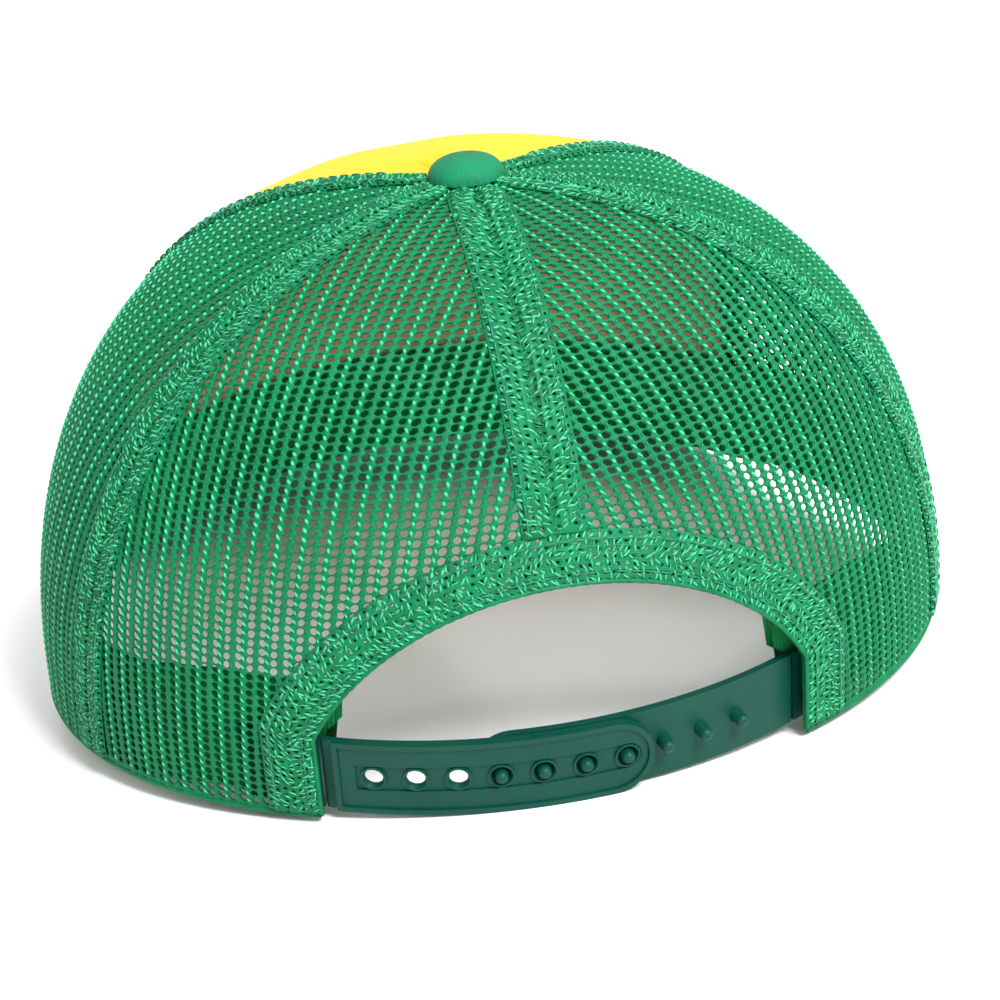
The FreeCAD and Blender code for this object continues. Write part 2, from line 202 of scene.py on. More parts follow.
class Cloth:
    """Flat measures on the crown: across is the way round it from the piece's middle line, up is
    the way up that line."""

    def __init__(self, middle, half_range):
        self.rises = np.linspace(0.0, 89.0, 179)
        azimuths = middle + np.linspace(-half_range, half_range, 161)
        grid = crown(azimuths[None, :], self.rises[:, None])
        steps = np.linalg.norm(np.diff(grid, axis=1), axis=2)
        round_it = np.concatenate((np.zeros((len(grid), 1)), np.cumsum(steps, axis=1)), axis=1)
        round_it -= round_it[:, [80]]
        climb = np.linalg.norm(np.diff(grid[:, 80], axis=0), axis=1)
        self.up = np.concatenate(((0.0,), np.cumsum(climb)))
        self.reach = float(np.abs(round_it).max())
        self.places = np.linspace(-self.reach, self.reach, 801)
        self.turns = np.array([np.interp(self.places, row, azimuths) for row in round_it])

    def at(self, across, up):
        across, up = np.broadcast_arrays(across, up)
        rise = np.interp(up, self.up, self.rises)
        row = np.clip(np.interp(up, self.up, np.arange(len(self.up))), 0, len(self.up) - 1.001)
        column = np.clip((across + self.reach) / (2 * self.reach) * 800, 0, 799.999)
        r, c = row.astype(int), column.astype(int)
        fr, fc = row - r, column - c
        t = self.turns
        low = t[r, c] * (1 - fc) + t[r, c + 1] * fc
        high = t[r + 1, c] * (1 - fc) + t[r + 1, c + 1] * fc
        return low * (1 - fr) + high * fr, rise

    def surface(self, across, up, depth):
        azimuth, rise = self.at(across, up)
        return crown(azimuth, rise, depth)


class Band:
    """Flat measures on a seam band: across it from the seam, between its edges, and up along it."""

    def __init__(self, seam, low_height, edges=(-BAND_HALF, BAND_HALF)):
        self.seam, self.edges = seam, edges
        low = float(rise_at(seam[1], low_height))
        self.rises = np.linspace(low, BAND_TOP, 400)
        line = crown(seam_azimuth(seam, self.rises), self.rises)
        self.up = np.concatenate(((0.0,), np.cumsum(np.linalg.norm(np.diff(line, axis=0), axis=1))))
        self.length = float(self.up[-1])

    def half_angle(self, rise):
        point = crown(seam_azimuth(self.seam, rise), rise)
        back = BUTTON_SET_BACK * (1 - point[..., 2] / CROWN_HEIGHT)
        radius = np.hypot(point[..., 0], point[..., 1] + back)
        return np.minimum(np.degrees(np.arctan2(BAND_HALF, radius)), BAND_ROOM)

    def surface(self, across, up, depth):
        across, up, depth = np.broadcast_arrays(across, up, depth)
        rise = np.interp(up, self.up, self.rises)
        azimuth = seam_azimuth(self.seam, rise) + across / BAND_HALF * self.half_angle(rise)
        groove = 1.0 * np.exp(-((across - sum(self.edges) / 2) / 0.7) ** 2)
        to_edge = np.minimum(across - self.edges[0], self.edges[1] - across)
        shoulder = 0.8 * (1 - ease(to_edge / 1.1))
        raised = BAND_THICKNESS * (1 - np.maximum(groove, shoulder))
        return crown(azimuth, rise, np.minimum(depth - raised, -LAYER_GAP + 0 * depth))


class Hem:
    """Flat measures on the back opening's hem: across it from the opening's edge, and along it."""

    def __init__(self):
        self.leg_share = 0.12
        middle = back_point(*self.outline(5.0, np.linspace(0, 1, 600)), 0.0)
        self.length = float(np.linalg.norm(np.diff(middle, axis=0), axis=1).sum())

    def outline(self, out, share):
        """x and z of the line that runs a distance outside the opening's edge."""
        out, share = np.broadcast_arrays(np.asarray(out, float), np.asarray(share, float))
        half, tall, leg = ARCH_WIDTH + out, ARCH_HEIGHT + out, ARCH_LEG + out
        turn_in = np.arcsin(np.clip(leg / half, -1, 1))
        bend = tall * np.cos(turn_in)
        near = np.minimum(share, 1 - share)
        side = np.where(share < 0.5, 1.0, -1.0)
        climb = np.clip(near / self.leg_share, 0, 1)
        sweep = turn_in * (1 - np.clip((near - self.leg_share) / (0.5 - self.leg_share), 0, 1))
        on_leg = near < self.leg_share
        x = np.where(on_leg, leg, half * np.sin(sweep))
        z = np.where(on_leg, BASE_LIFT + (bend - BASE_LIFT) * climb, tall * np.cos(sweep))
        return side * x, z

    def surface(self, across, along, depth):
        across, along, depth = np.broadcast_arrays(across, along, depth)
        x, z = self.outline(across, np.clip(along / self.length, 0, 1))
        shoulder = 0.7 * np.maximum(ease((across - 9.0) / 1.0), 0.6 * ease((0.9 - across) / 0.9))
        raised = BAND_THICKNESS * (1 - shoulder)
        return back_point(x, z, np.minimum(depth - raised, -LAYER_GAP + 0 * depth))


# Mesh making

def closed_volume(points, quads, triangles):
    """Six times the volume inside the faces, positive where they face outward."""
    faces = [triangles] if len(triangles) else []
    if len(quads):
        faces += [quads[:, [0, 1, 2]], quads[:, [0, 2, 3]]]
    tri = np.concatenate(faces)
    middle = points.mean(axis=0)
    a, b, c = (points[tri[:, k]] - middle for k in range(3))
    return float((a * np.cross(b, c)).sum())


def make_piece(name, points, quads, finish, triangles=(), weave=None, body=CROWN,
               replaces=(), smooth=True):
    """One mesh object from crown-frame points, facing outward, on a CAD body."""
    quads = np.asarray(quads, int).reshape(-1, 4)
    triangles = np.asarray(triangles, int).reshape(-1, 3)
    used, places = np.unique(np.concatenate((quads.ravel(), triangles.ravel())), return_inverse=True)
    points = to_row(np.asarray(points, float).reshape(-1, 3)[used])
    quads = places[:quads.size].reshape(-1, 4)
    triangles = places[quads.size:].reshape(-1, 3)
    if closed_volume(points, quads, triangles) < 0:
        quads, triangles = quads[:, ::-1], triangles[:, ::-1]
    mesh = bpy.data.meshes.new(name)
    mesh.vertices.add(len(points))
    mesh.vertices.foreach_set("co", points.ravel())
    corners = np.concatenate((quads.ravel(), triangles.ravel()))
    mesh.loops.add(len(corners))
    mesh.loops.foreach_set("vertex_index", corners)
    counts = np.concatenate((np.full(len(quads), 4), np.full(len(triangles), 3)))
    mesh.polygons.add(len(counts))
    mesh.polygons.foreach_set("loop_start", np.concatenate(((0,), np.cumsum(counts)[:-1])))
    mesh.polygons.foreach_set("use_smooth", np.full(len(counts), smooth))
    mesh.update(calc_edges=True)
    if weave is not None:
        flat = np.zeros((len(used), 3))
        flat[:, :2] = np.asarray(weave, float).reshape(-1, 2)[used]
        mesh.attributes.new("weave", "FLOAT_VECTOR", "POINT").data.foreach_set("vector", flat.ravel())
    mesh.validate()
    piece = bpy.data.objects.new(name, mesh)
    bpy.context.scene.collection.objects.link(piece)
    mesh.materials.append(finish)
    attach(piece, body)
    if replaces:
        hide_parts(*replaces)
    return piece


def join(parts):
    """Several (points, quads, triangles) as one."""
    points, quads, triangles, count = [], [], [], 0
    for p, q, t in parts:
        points.append(p)
        quads.append(np.asarray(q, int).reshape(-1, 4) + count)
        triangles.append(np.asarray(t, int).reshape(-1, 3) + count)
        count += len(p)
    return np.concatenate(points), np.concatenate(quads), np.concatenate(triangles)


def shell(outer, inner):
    """Closed shell between two matching grids of points."""
    rows, columns = outer.shape[:2]
    index = np.arange(rows * columns).reshape(rows, columns)
    other = index + rows * columns
    face = np.stack((index[:-1, :-1], index[1:, :-1], index[1:, 1:], index[:-1, 1:]), -1).reshape(-1, 4)
    rim = np.concatenate((index[0, :-1], index[:-1, -1], index[-1, :0:-1], index[:0:-1, 0]))
    ahead = np.roll(rim, -1)
    edge = np.stack((rim, ahead, ahead + rows * columns, rim + rows * columns), -1)
    faces = np.concatenate((face, face[:, ::-1] + other[0, 0], edge))
    return np.concatenate((outer.reshape(-1, 3), inner.reshape(-1, 3))), faces


def tube(rings, capped=True):
    """Closed tube through rings of points; the ring's halves face each other, which makes the caps."""
    count, size = rings.shape[:2]
    index = np.arange(count * size).reshape(count, size)
    ahead = np.roll(index, -1, axis=1)
    faces = [np.stack((index[:-1], ahead[:-1], ahead[1:], index[1:]), -1).reshape(-1, 4)]
    if capped:
        half = np.arange(size // 2 - 1)
        cap = np.stack((half, half + 1, size - 2 - half, size - 1 - half), -1)
        faces += [cap, cap[:, ::-1] + index[-1, 0]]
    return rings.reshape(-1, 3), np.concatenate(faces)


AROUND = ((2, 1), (2, 2), (1, 2), (0, 2), (0, 1), (0, 0), (1, 0), (2, 0))
AROUND_ANGLES = np.radians(np.arange(8) * 45.0)


def knitted_net(inside, surface, low, high, cell, hole, lean, thickness, relief, stagger, seed):
    """A knitted net with a rounded hole in each cell.

    low and high are the corners of the flat area, cell and hole the sizes (across, up) in
    millimetres, and relief the depth of the bars, the thin wales and the hole's rim below the
    broad wales. Returns points, quads and the flat place of every point.
    """
    columns = int(round((high[0] - low[0]) / cell[0]))
    rows = int(round((high[1] - low[1]) / cell[1]))
    i, j = np.meshgrid(np.arange(2 * columns + 1), np.arange(2 * rows + 1), indexing="ij")
    u = low[0] + i * cell[0] / 2
    v = low[1] + j * cell[1] / 2
    shift = np.where((i // 2) % 2 == 0, stagger, -stagger) * np.where(i % 2 == 1, 1, 0) * cell[1]
    v = v + shift
    ok = inside(u, v)
    near_u, near_v, valid = u.copy(), v.copy(), ok.copy()
    for di in (-1, 0, 1):
        for dj in (-1, 0, 1):
            there = np.zeros_like(ok)
            from_u, from_v = np.roll(u, (di, dj), (0, 1)), np.roll(v, (di, dj), (0, 1))
            there[max(di, 0):ok.shape[0] + min(di, 0), max(dj, 0):ok.shape[1] + min(dj, 0)] = \
                ok[max(-di, 0):ok.shape[0] + min(-di, 0), max(-dj, 0):ok.shape[1] + min(-dj, 0)]
            take = there & ~valid
            near_u[take], near_v[take] = from_u[take], from_v[take]
            valid |= there
    far_u, far_v = u.copy(), v.copy()
    edge = valid & ~ok
    for _ in range(12):
        mid_u, mid_v = (near_u + far_u) / 2, (near_v + far_v) / 2
        good = inside(mid_u, mid_v)
        near_u, near_v = np.where(edge & good, mid_u, near_u), np.where(edge & good, mid_v, near_v)
        far_u, far_v = np.where(edge & ~good, mid_u, far_u), np.where(edge & ~good, mid_v, far_v)
    u, v = np.where(edge, near_u, u), np.where(edge, near_v, v)
    bar, thin_wale, rim = relief
    sunk = np.where(i % 4 == 0, 0.0, np.where(i % 2 == 0, thin_wale, bar))
    node = np.arange(u.size).reshape(u.shape)
    corner_i, corner_j = np.meshgrid(2 * np.arange(columns), 2 * np.arange(rows), indexing="ij")
    corner_i, corner_j = corner_i.ravel(), corner_j.ravel()
    ring = np.stack([node[corner_i + a, corner_j + b] for a, b in AROUND], -1)
    holed = ok.ravel()[ring].all(axis=1)
    cells = ring[holed]
    rng = np.random.default_rng(seed)
    count = len(cells)
    centre_u = (u.ravel()[cells[:, 0]] + u.ravel()[cells[:, 4]]) / 2
    centre_v = (v.ravel()[cells[:, 2]] + v.ravel()[cells[:, 6]]) / 2
    centre_u = centre_u + rng.normal(0, 0.02 * cell[0], count)
    centre_v = centre_v + rng.normal(0, 0.02 * cell[1], count)
    tip = np.radians(lean) * np.where((corner_i[holed] // 2) % 2 == 0, 1, -1) + rng.normal(0, 0.08, count)
    grow = 1 + rng.normal(0, 0.04, count)
    oval_u = hole[0] / 2 * np.cos(AROUND_ANGLES)[None, :] * grow[:, None]
    oval_v = hole[1] / 2 * np.sin(AROUND_ANGLES)[None, :] * grow[:, None]
    ring_u = oval_u * np.cos(tip)[:, None] - oval_v * np.sin(tip)[:, None]
    ring_v = oval_u * np.sin(tip)[:, None] + oval_v * np.cos(tip)[:, None]
    flat_u, flat_v = [u.ravel(), u.ravel()], [v.ravel(), v.ravel()]
    depth = [sunk.ravel(), thickness - 0.6 * sunk.ravel()]
    rings = []
    base = 2 * u.size
    for widen, at in ((1.12, rim), (1.0, thickness / 2), (1.12, thickness - rim)):
        flat_u.append((centre_u[:, None] + ring_u * widen).ravel())
        flat_v.append((centre_v[:, None] + ring_v * widen).ravel())
        depth.append(np.full(8 * count, at))
        rings.append(base + np.arange(8 * count).reshape(count, 8))
        base += 8 * count
    flat_u, flat_v, depth = (np.concatenate(x) for x in (flat_u, flat_v, depth))
    turn = lambda x: np.roll(x, -1, axis=1)
    under = u.size
    faces = []
    for a, b in ((cells, rings[0]), (rings[0], rings[1]), (rings[1], rings[2]), (rings[2], cells + under)):
        faces.append(np.stack((a, turn(a), turn(b), b), -1).reshape(-1, 4))
    fine = valid.ravel()
    sheet = []
    for a in (0, 1):
        for b in (0, 1):
            k, l = corner_i + a, corner_j + b
            quad = np.stack((node[k, l], node[k + 1, l], node[k + 1, l + 1], node[k, l + 1]), -1)
            sheet.append(quad[~holed & fine[quad].all(axis=1)])
    sheet = np.concatenate(sheet)
    faces += [sheet, sheet[:, ::-1] + under]
    edges = np.concatenate([sheet[:, [k, (k + 1) % 4]] for k in range(4)]
                           + [np.stack((cells, turn(cells)), -1).reshape(-1, 2)])
    _, where, uses = np.unique(np.sort(edges, axis=1), axis=0, return_inverse=True, return_counts=True)
    rim_edges = edges[uses[where.ravel()] == 1]
    first, second = rim_edges[:, 0], rim_edges[:, 1]
    faces.append(np.stack((second, first, first + under, second + under), -1))
    return surface(flat_u, flat_v, depth), np.concatenate(faces), np.stack((flat_u, flat_v), -1)


def yarn_floats(surface, u, v, length, width, height, lean):
    """Short floats of yarn that lie on a surface like lenses."""
    angles = np.radians(np.arange(6) * 60.0)
    length, width = (np.broadcast_to(x, u.shape)[:, None] for x in (length, width))
    du, dv = width / 2 * np.sin(angles), length / 2 * np.cos(angles)
    lean = np.radians(np.broadcast_to(lean, u.shape))[:, None]
    ring_u = u[:, None] + du * np.cos(lean) - dv * np.sin(lean)
    ring_v = v[:, None] + du * np.sin(lean) + dv * np.cos(lean)
    ring = surface(ring_u, ring_v, np.full(ring_u.shape, 0.12))
    top = surface(u, v, np.full(u.shape, -height))
    points = np.concatenate((ring, top[:, None]), axis=1).reshape(-1, 3)
    base = (np.arange(len(u)) * 7)[:, None]
    triangles = np.concatenate([base + np.array((k, (k + 1) % 6, 6)) for k in range(6)])
    quads = np.concatenate((base + np.array((3, 2, 1, 0)), base + np.array((5, 4, 3, 0))))
    return points, quads, triangles


def loose_floats(surface, inside, low, high, pitch, seed):
    """Floats that lie at random leans over a folded band, about one to each cell of the pitch."""
    rng = np.random.default_rng(seed)
    across = np.arange(low[0] + pitch[0] / 2, high[0], pitch[0])
    up = np.arange(low[1] + pitch[1] / 2, high[1], pitch[1])
    u, v = (x.ravel() for x in np.meshgrid(across, up, indexing="ij"))
    u = u + rng.uniform(-0.35, 0.35, u.size) * pitch[0]
    v = v + rng.uniform(-0.35, 0.35, u.size) * pitch[1]
    length, width = rng.uniform(1.5, 2.6, u.size), rng.uniform(0.34, 0.62, u.size)
    height = rng.uniform(0.12, 0.28, u.size)
    lean = rng.normal(0, 22, u.size) + 58 * np.sign((low[0] + high[0]) / 2 - u)
    keep = inside(u, v) & (rng.uniform(0, 1, u.size) < 0.9)
    return yarn_floats(surface, u[keep], v[keep], length[keep], width[keep], height[keep], lean[keep])


STITCH_STATIONS = np.array((0.0, 0.12, 0.35, 0.65, 0.88, 1.0))
STITCH_LIFT = np.array((-1.2, 0.1, 0.75, 0.75, 0.1, -1.2))
STITCH_GIRTH = np.array((0.6, 0.95, 1.0, 1.0, 0.95, 0.6))


def stitches(path, outward, length, gap, radius):
    """A row of stitches along a line that lies on the cloth."""
    steps = np.linalg.norm(np.diff(path, axis=0), axis=1)
    along = np.concatenate(((0.0,), np.cumsum(steps)))
    count = int(along[-1] // (length + gap))
    pitch = along[-1] / max(count, 1)
    start = np.arange(count) * pitch + gap / 2
    at = start[:, None] + (pitch - gap) * STITCH_STATIONS[None, :]

    def on(values, s):
        return np.stack([np.interp(s, along, values[:, k]) for k in range(3)], -1)
    normal = unit(on(outward, at))
    tangent = unit(on(path, at + 0.2) - on(path, at - 0.2))
    side = unit(np.cross(tangent, normal))
    centre = on(path, at) + normal * (STITCH_LIFT * radius)[None, :, None]
    angles = np.radians(np.arange(6) * 60.0 + 30)
    girth = (STITCH_GIRTH * radius)[None, :, None, None]
    ring = (centre[:, :, None] + girth * (side[:, :, None] * np.cos(angles)[None, None, :, None]
                                          + normal[:, :, None] * np.sin(angles)[None, None, :, None]))
    stations = len(STITCH_STATIONS)
    base = np.arange(count)[:, None, None] * stations * 6
    k = np.arange(stations - 1)[None, :, None] * 6
    m = np.arange(6)[None, None, :]
    n = (m + 1) % 6
    quads = np.stack((base + k + m, base + k + n, base + k + 6 + n, base + k + 6 + m), -1).reshape(-1, 4)
    first = np.arange(count)[:, None] * stations * 6
    last = first + (stations - 1) * 6
    caps = np.concatenate((first + np.array((3, 2, 1, 0)), first + np.array((5, 4, 3, 0)),
                           last + np.array((0, 1, 2, 3)), last + np.array((0, 3, 4, 5))))
    return ring.reshape(-1, 3), np.concatenate((quads, caps)), np.zeros((0, 3), int)


def row_on(surface, across, up, depth=0.0):
    """A line on a surface, with the directions that point out of it."""
    across, up = np.broadcast_arrays(across, up)
    line = surface(across, up, np.full(up.shape, depth))
    above = surface(across, up, np.full(up.shape, depth - 1.0))
    return line, unit(above - line)


# Finishes

def srgb(red, green, blue):
    """Linear colour from one given in 0 to 255."""
    return tuple((c / 255 / 12.92 if c <= 10 else ((c / 255 + 0.055) / 1.055) ** 2.4)
                 for c in (red, green, blue))


def finish(name, colour, shade, roughness, specular=0.5, sheen=0.0, mottle=0.25, reliefs=(),
           metallic=0.0, see_through=0.0):
    """A procedural finish: two tones mixed by noise, and a chain of reliefs.

    A relief is (texture, places, stretch in 1/mm, height in mm): noise, pores or ribs, on the cloth's
    own flat measures ("weave") or in space ("space").
    """
    material = bpy.data.materials.new(name)
    material.use_nodes = True
    nodes, links = material.node_tree.nodes, material.node_tree.links
    shader = nodes["Principled BSDF"]
    shader.inputs["Metallic"].default_value = metallic
    shader.inputs["Specular IOR Level"].default_value = specular
    shader.inputs["Sheen Weight"].default_value = sheen
    shader.inputs["Sheen Roughness"].default_value = 0.45
    shader.inputs["Sheen Tint"].default_value = (*[min(1.0, 0.3 + 1.2 * c) for c in colour], 1.0)
    if see_through:
        shader.inputs["Subsurface Weight"].default_value = see_through
        shader.inputs["Subsurface Radius"].default_value = (0.002, 0.003, 0.002)
        shader.inputs["Subsurface Scale"].default_value = 1.0
    space = nodes.new("ShaderNodeTexCoord")

    def places(kind, stretch, turn=0.0):
        mapping = nodes.new("ShaderNodeMapping")
        if kind == "weave":
            flat = nodes.new("ShaderNodeAttribute")
            flat.attribute_name = "weave"
            links.new(flat.outputs["Vector"], mapping.inputs["Vector"])
            factor = 1.0
        else:
            links.new(space.outputs["Object"], mapping.inputs["Vector"])
            factor = 1000.0
        scale = stretch if hasattr(stretch, "__len__") else (stretch,) * 3
        mapping.inputs["Scale"].default_value = tuple(s * factor for s in scale)
        mapping.inputs["Rotation"].default_value = (0, 0, math.radians(turn))
        return mapping.outputs["Vector"]

    blotch = nodes.new("ShaderNodeTexNoise")
    blotch.inputs["Scale"].default_value = 1.0
    blotch.inputs["Detail"].default_value = 5.0
    links.new(places("space", mottle), blotch.inputs["Vector"])
    spread = nodes.new("ShaderNodeMapRange")
    spread.inputs["From Min"].default_value = 0.3
    spread.inputs["From Max"].default_value = 0.7
    links.new(blotch.outputs["Fac"], spread.inputs["Value"])
    tone = nodes.new("ShaderNodeMix")
    tone.data_type = "RGBA"
    tone.inputs[6].default_value = (*shade, 1.0)
    tone.inputs[7].default_value = (*colour, 1.0)
    links.new(spread.outputs["Result"], tone.inputs["Factor"])
    links.new(tone.outputs[2], shader.inputs["Base Color"])
    gloss = nodes.new("ShaderNodeMapRange")
    gloss.inputs["To Min"].default_value = max(roughness - 0.07, 0.05)
    gloss.inputs["To Max"].default_value = min(roughness + 0.07, 1.0)
    links.new(blotch.outputs["Fac"], gloss.inputs["Value"])
    links.new(gloss.outputs["Result"], shader.inputs["Roughness"])
    normal = None
    for kind, where, stretch, height, *turn in reliefs:
        if kind == "noise":
            texture = nodes.new("ShaderNodeTexNoise")
            texture.inputs["Detail"].default_value = 4.0
            out = texture.outputs["Fac"]
        elif kind == "pores":
            texture = nodes.new("ShaderNodeTexVoronoi")
            out = texture.outputs["Distance"]
        else:
            texture = nodes.new("ShaderNodeTexWave")
            texture.inputs["Distortion"].default_value = 0.4
            texture.inputs["Detail"].default_value = 1.0
            out = texture.outputs["Fac"]
            # a wave's own period is 0.314 of its scale
            stretch = tuple(0.314 * s for s in (stretch if hasattr(stretch, "__len__") else (stretch,) * 3))
        texture.inputs["Scale"].default_value = 1.0
        links.new(places(where, stretch, *turn), texture.inputs["Vector"])
        bump = nodes.new("ShaderNodeBump")
        bump.inputs["Distance"].default_value = height / 1000
        links.new(out, bump.inputs["Height"])
        if normal is not None:
            links.new(normal, bump.inputs["Normal"])
        normal = bump.outputs["Normal"]
    if normal is not None:
        links.new(normal, shader.inputs["Normal"])
    return material


_finishes = {}


def look(key, colours):
    """The finish with this key, made once."""
    if key in _finishes:
        return _finishes[key]
    c = colours
    darker = lambda colour, share=0.72: tuple(x * share for x in colour)
    recipes = {
        "net": lambda: finish("net_yarn", c.net, darker(c.net), 0.5, 0.18, 0.0, 0.05, (
            ("ribs", "weave", (1 / 0.45, 0, 0), 0.05, 24), ("noise", "weave", (3.0, 3.0, 3.0), 0.04))),
        # Floats on the broad wales: the yarn's own green lightened to mint, as painted highlight for their
        # glints
        "float": lambda: finish(
            "net_floats_highlight", c.float_yarn_and_highlight, darker(c.float_yarn_and_highlight, 0.85), 0.28, 0.5, 0.0, 0.08, (
                ("noise", "space", 4.0, 0.02),)),
        # Floats on the thin wales: the yarn's own green lightened a little as painted highlight
        "thin_float_and_highlight": lambda: finish(
            "thin_floats_highlight", c.thin_float_and_highlight, darker(c.thin_float_and_highlight, 0.8), 0.34, 0.3, 0.0, 0.1, (
                ("noise", "space", 4.0, 0.02),)),
        # Loops over the bands and the hem: the yarn's own green lightened to mint as painted highlight
        "loop_and_highlight": lambda: finish("band_floats_highlight", c.loop_and_highlight, darker(c.loop_and_highlight, 0.6), 0.34, 0.35, 0.0, 0.4, (
            ("noise", "space", 3.0, 0.03),)),
        "band": lambda: finish("band_yarn", c.band, darker(c.band, 0.6), 0.5, 0.18, 0.0, 0.25, (
            ("ribs", "weave", (1 / 0.4, 0, 0), 0.06, 35), ("noise", "weave", 2.5, 0.05))),
        "thread": lambda: finish("sewing_thread", c.thread, darker(c.thread), 0.38, 0.5, 0.1, 0.3, (
            ("ribs", "space", (2.5, 2.5, 2.5), 0.03),)),
        "cover": lambda: finish("front_cloth", c.cover, darker(c.cover, 0.95), 0.7, 0.25, 0.3, 0.03, (
            ("ribs", "weave", (1 / 0.55, 0, 0), 0.02, 0), ("ribs", "weave", (0, 1 / 0.5, 0), 0.02, 90),
            ("noise", "space", 0.12, 0.25))),
        "foam": lambda: finish("front_foam", c.foam, darker(c.foam, 0.8), 0.9, 0.15, 0.2, 0.04, (
            ("pores", "space", 1.6, 0.12), ("noise", "space", 0.35, 0.3))),
        "sweatband": lambda: finish(
            "sweatband_twill", c.sweatband, darker(c.sweatband), 0.8, 0.2, 0.12, 0.06, (
                ("ribs", "weave", (1 / 0.8, 0, 0), 0.10, 32), ("noise", "weave", 2.0, 0.08))),
        "strap": lambda: finish("strap_plastic", c.strap, darker(c.strap, 0.85), 0.44, 0.22, 0.0, 0.06, (
            ("noise", "space", 1.8, 0.012), ("noise", "space", 0.25, 0.05)), see_through=0.03),
        "visor": lambda: finish("visor_twill", c.visor, darker(c.visor), 0.78, 0.25, 0.35, 0.04, (
            ("ribs", "weave", (1 / 0.7, 0, 0), 0.08, 30), ("noise", "weave", 1.5, 0.06))),
        "button": lambda: finish("button_cloth", c.button, darker(c.button), 0.6, 0.2, 0.05, 0.15, (
            ("ribs", "weave", (1 / 0.5, 0, 0), 0.05, 0), ("ribs", "weave", (0, 1 / 0.45, 0), 0.02, 90))),
        "board": lambda: finish("visor_board", c.board, darker(c.board, 0.9), 0.55, 0.4, 0.0, 0.05, (
            ("noise", "space", 0.8, 0.05),)),
        "metal": lambda: finish("button_metal", c.metal, darker(c.metal, 0.85), 0.32, 0.5, 0.0, 0.3, (
            ("noise", "space", (0.4, 6.0, 0.4), 0.01),), metallic=1.0),
    }
    _finishes[key] = recipes[key]()
    return _finishes[key]


# Settings

def colour_setting(name, description, red, green, blue):
    return bpy.props.FloatVectorProperty(
        name=name, description=description, subtype="COLOR", size=3, min=0.0, max=1.0,
        default=srgb(red, green, blue))


def length_setting(name, description, millimetres):
    return bpy.props.FloatProperty(
        name=name, description=description, default=millimetres / 1000, min=0.0, unit="LENGTH")


class CapColours(bpy.types.PropertyGroup):
    """Colours of the cap's cloths, yarns and plastics."""
    net: colour_setting("Net", "Yarn of the knitted net", 0, 114, 70)
    # Floats: the yarn's green lightened to mint as painted highlight for the glints of glossy yarn
    float_yarn_and_highlight: colour_setting("Floats", "Glossy yarn that floats over the net's broad wales", 52, 196, 138)
    # Thin floats: the yarn's green lightened a little as painted highlight
    thin_float_and_highlight: colour_setting("Thin floats", "Yarn that floats over the net's thin wales", 4, 142, 92)
    # Loops: the yarn's green lightened to mint as painted highlight
    loop_and_highlight: colour_setting("Loops", "Yarn that floats over the seam bands and the hem", 70, 190, 134)
    band: colour_setting("Seam bands", "Doubled net over the seams and round the opening", 0, 116, 72)
    thread: colour_setting("Thread", "Sewing thread", 0, 116, 92)
    cover: colour_setting("Front", "Cloth of the front panel", 250, 186, 10)
    foam: colour_setting("Foam", "Foam that backs the front panel", 236, 190, 140)
    sweatband: colour_setting("Sweatband", "Twill of the sweatband", 0, 130, 66)
    strap: colour_setting("Strap", "Moulded plastic of the snap strap", 0, 66, 54)
    visor: colour_setting("Visor", "Twill of the visor", 6, 138, 78)
    button: colour_setting("Button", "Ribbed cloth of the button", 8, 122, 82)
    board: colour_setting("Board", "Plain board inside the visor", 218, 218, 210)
    metal: colour_setting("Button metal", "Shell, post and washer of the button", 190, 190, 190)


class CapSizes(bpy.types.PropertyGroup):
    """Sizes of the net, the bands and the stitches."""
    wale_pitch: length_setting("Wale pitch", "From one column of holes to the next", 2.6)
    row_pitch: length_setting("Row pitch", "From one row of holes to the next", 1.8)
    hole_width: length_setting("Hole width", "Width of a hole in the net", 1.72)
    hole_height: length_setting("Hole height", "Height of a hole in the net", 1.46)
    band_hole: length_setting("Band hole", "Holes that show in the doubled net", 0.62)
    stitch_length: length_setting("Stitch length", "Length of one topstitch", 2.5)
    stitch_gap: length_setting("Stitch gap", "Gap between topstitches", 0.45)
    thread_radius: length_setting("Thread radius", "Half the thickness of the sewing thread", 0.18)
    floor_size: length_setting("Floor", "Side of the floor it stands on", 6000)


def mm(metres):
    return metres * 1000


PANELS = (
    ("back_left", (0.0, 0.0), SIDE_SEAM, 33.0, 46.0),
    ("side_left", SIDE_SEAM, FRONT_SEAM, 95.0, 46.0),
    ("back_right", (-60.0, -67.0), (0.0, 0.0), -33.0, 46.0),
    ("side_right", (-120.0, -130.0), (-60.0, -67.0), -95.0, 46.0),
)
WHOLE_BAND = (-BAND_HALF, BAND_HALF)
SEAMS = (
    ("center", (0.0, 0.0), ARCH_HEIGHT + HEM_WIDTH - 1.0, WHOLE_BAND),
    ("left_side", (60.0, 67.0), BASE_LIFT, WHOLE_BAND),
    ("right_side", (-60.0, -67.0), BASE_LIFT, WHOLE_BAND),
    ("left_front", (120.0, 130.0), FRONT_LIFT, (-BAND_HALF, BAND_LAP)),
    ("right_front", (-120.0, -130.0), FRONT_LIFT, (-BAND_LAP, BAND_HALF)),
)


def panel_inside(cloth, low_seam, high_seam, margin=0.0):
    """A test of whether flat places lie on a net panel."""
    def inside(across, up):
        azimuth, rise = cloth.at(across, up)
        spot = crown(azimuth, rise)
        radius = np.maximum(np.hypot(spot[..., 0], spot[..., 1]), 1.0)
        pad = np.degrees(margin / radius)
        between = ((azimuth > seam_azimuth(low_seam, rise) + pad)
                   & (azimuth < seam_azimuth(high_seam, rise) - pad))
        tall = (up > 0.4 + margin) & (rise < PANEL_TOP)
        return between & tall & ~in_opening(spot, margin)
    return inside


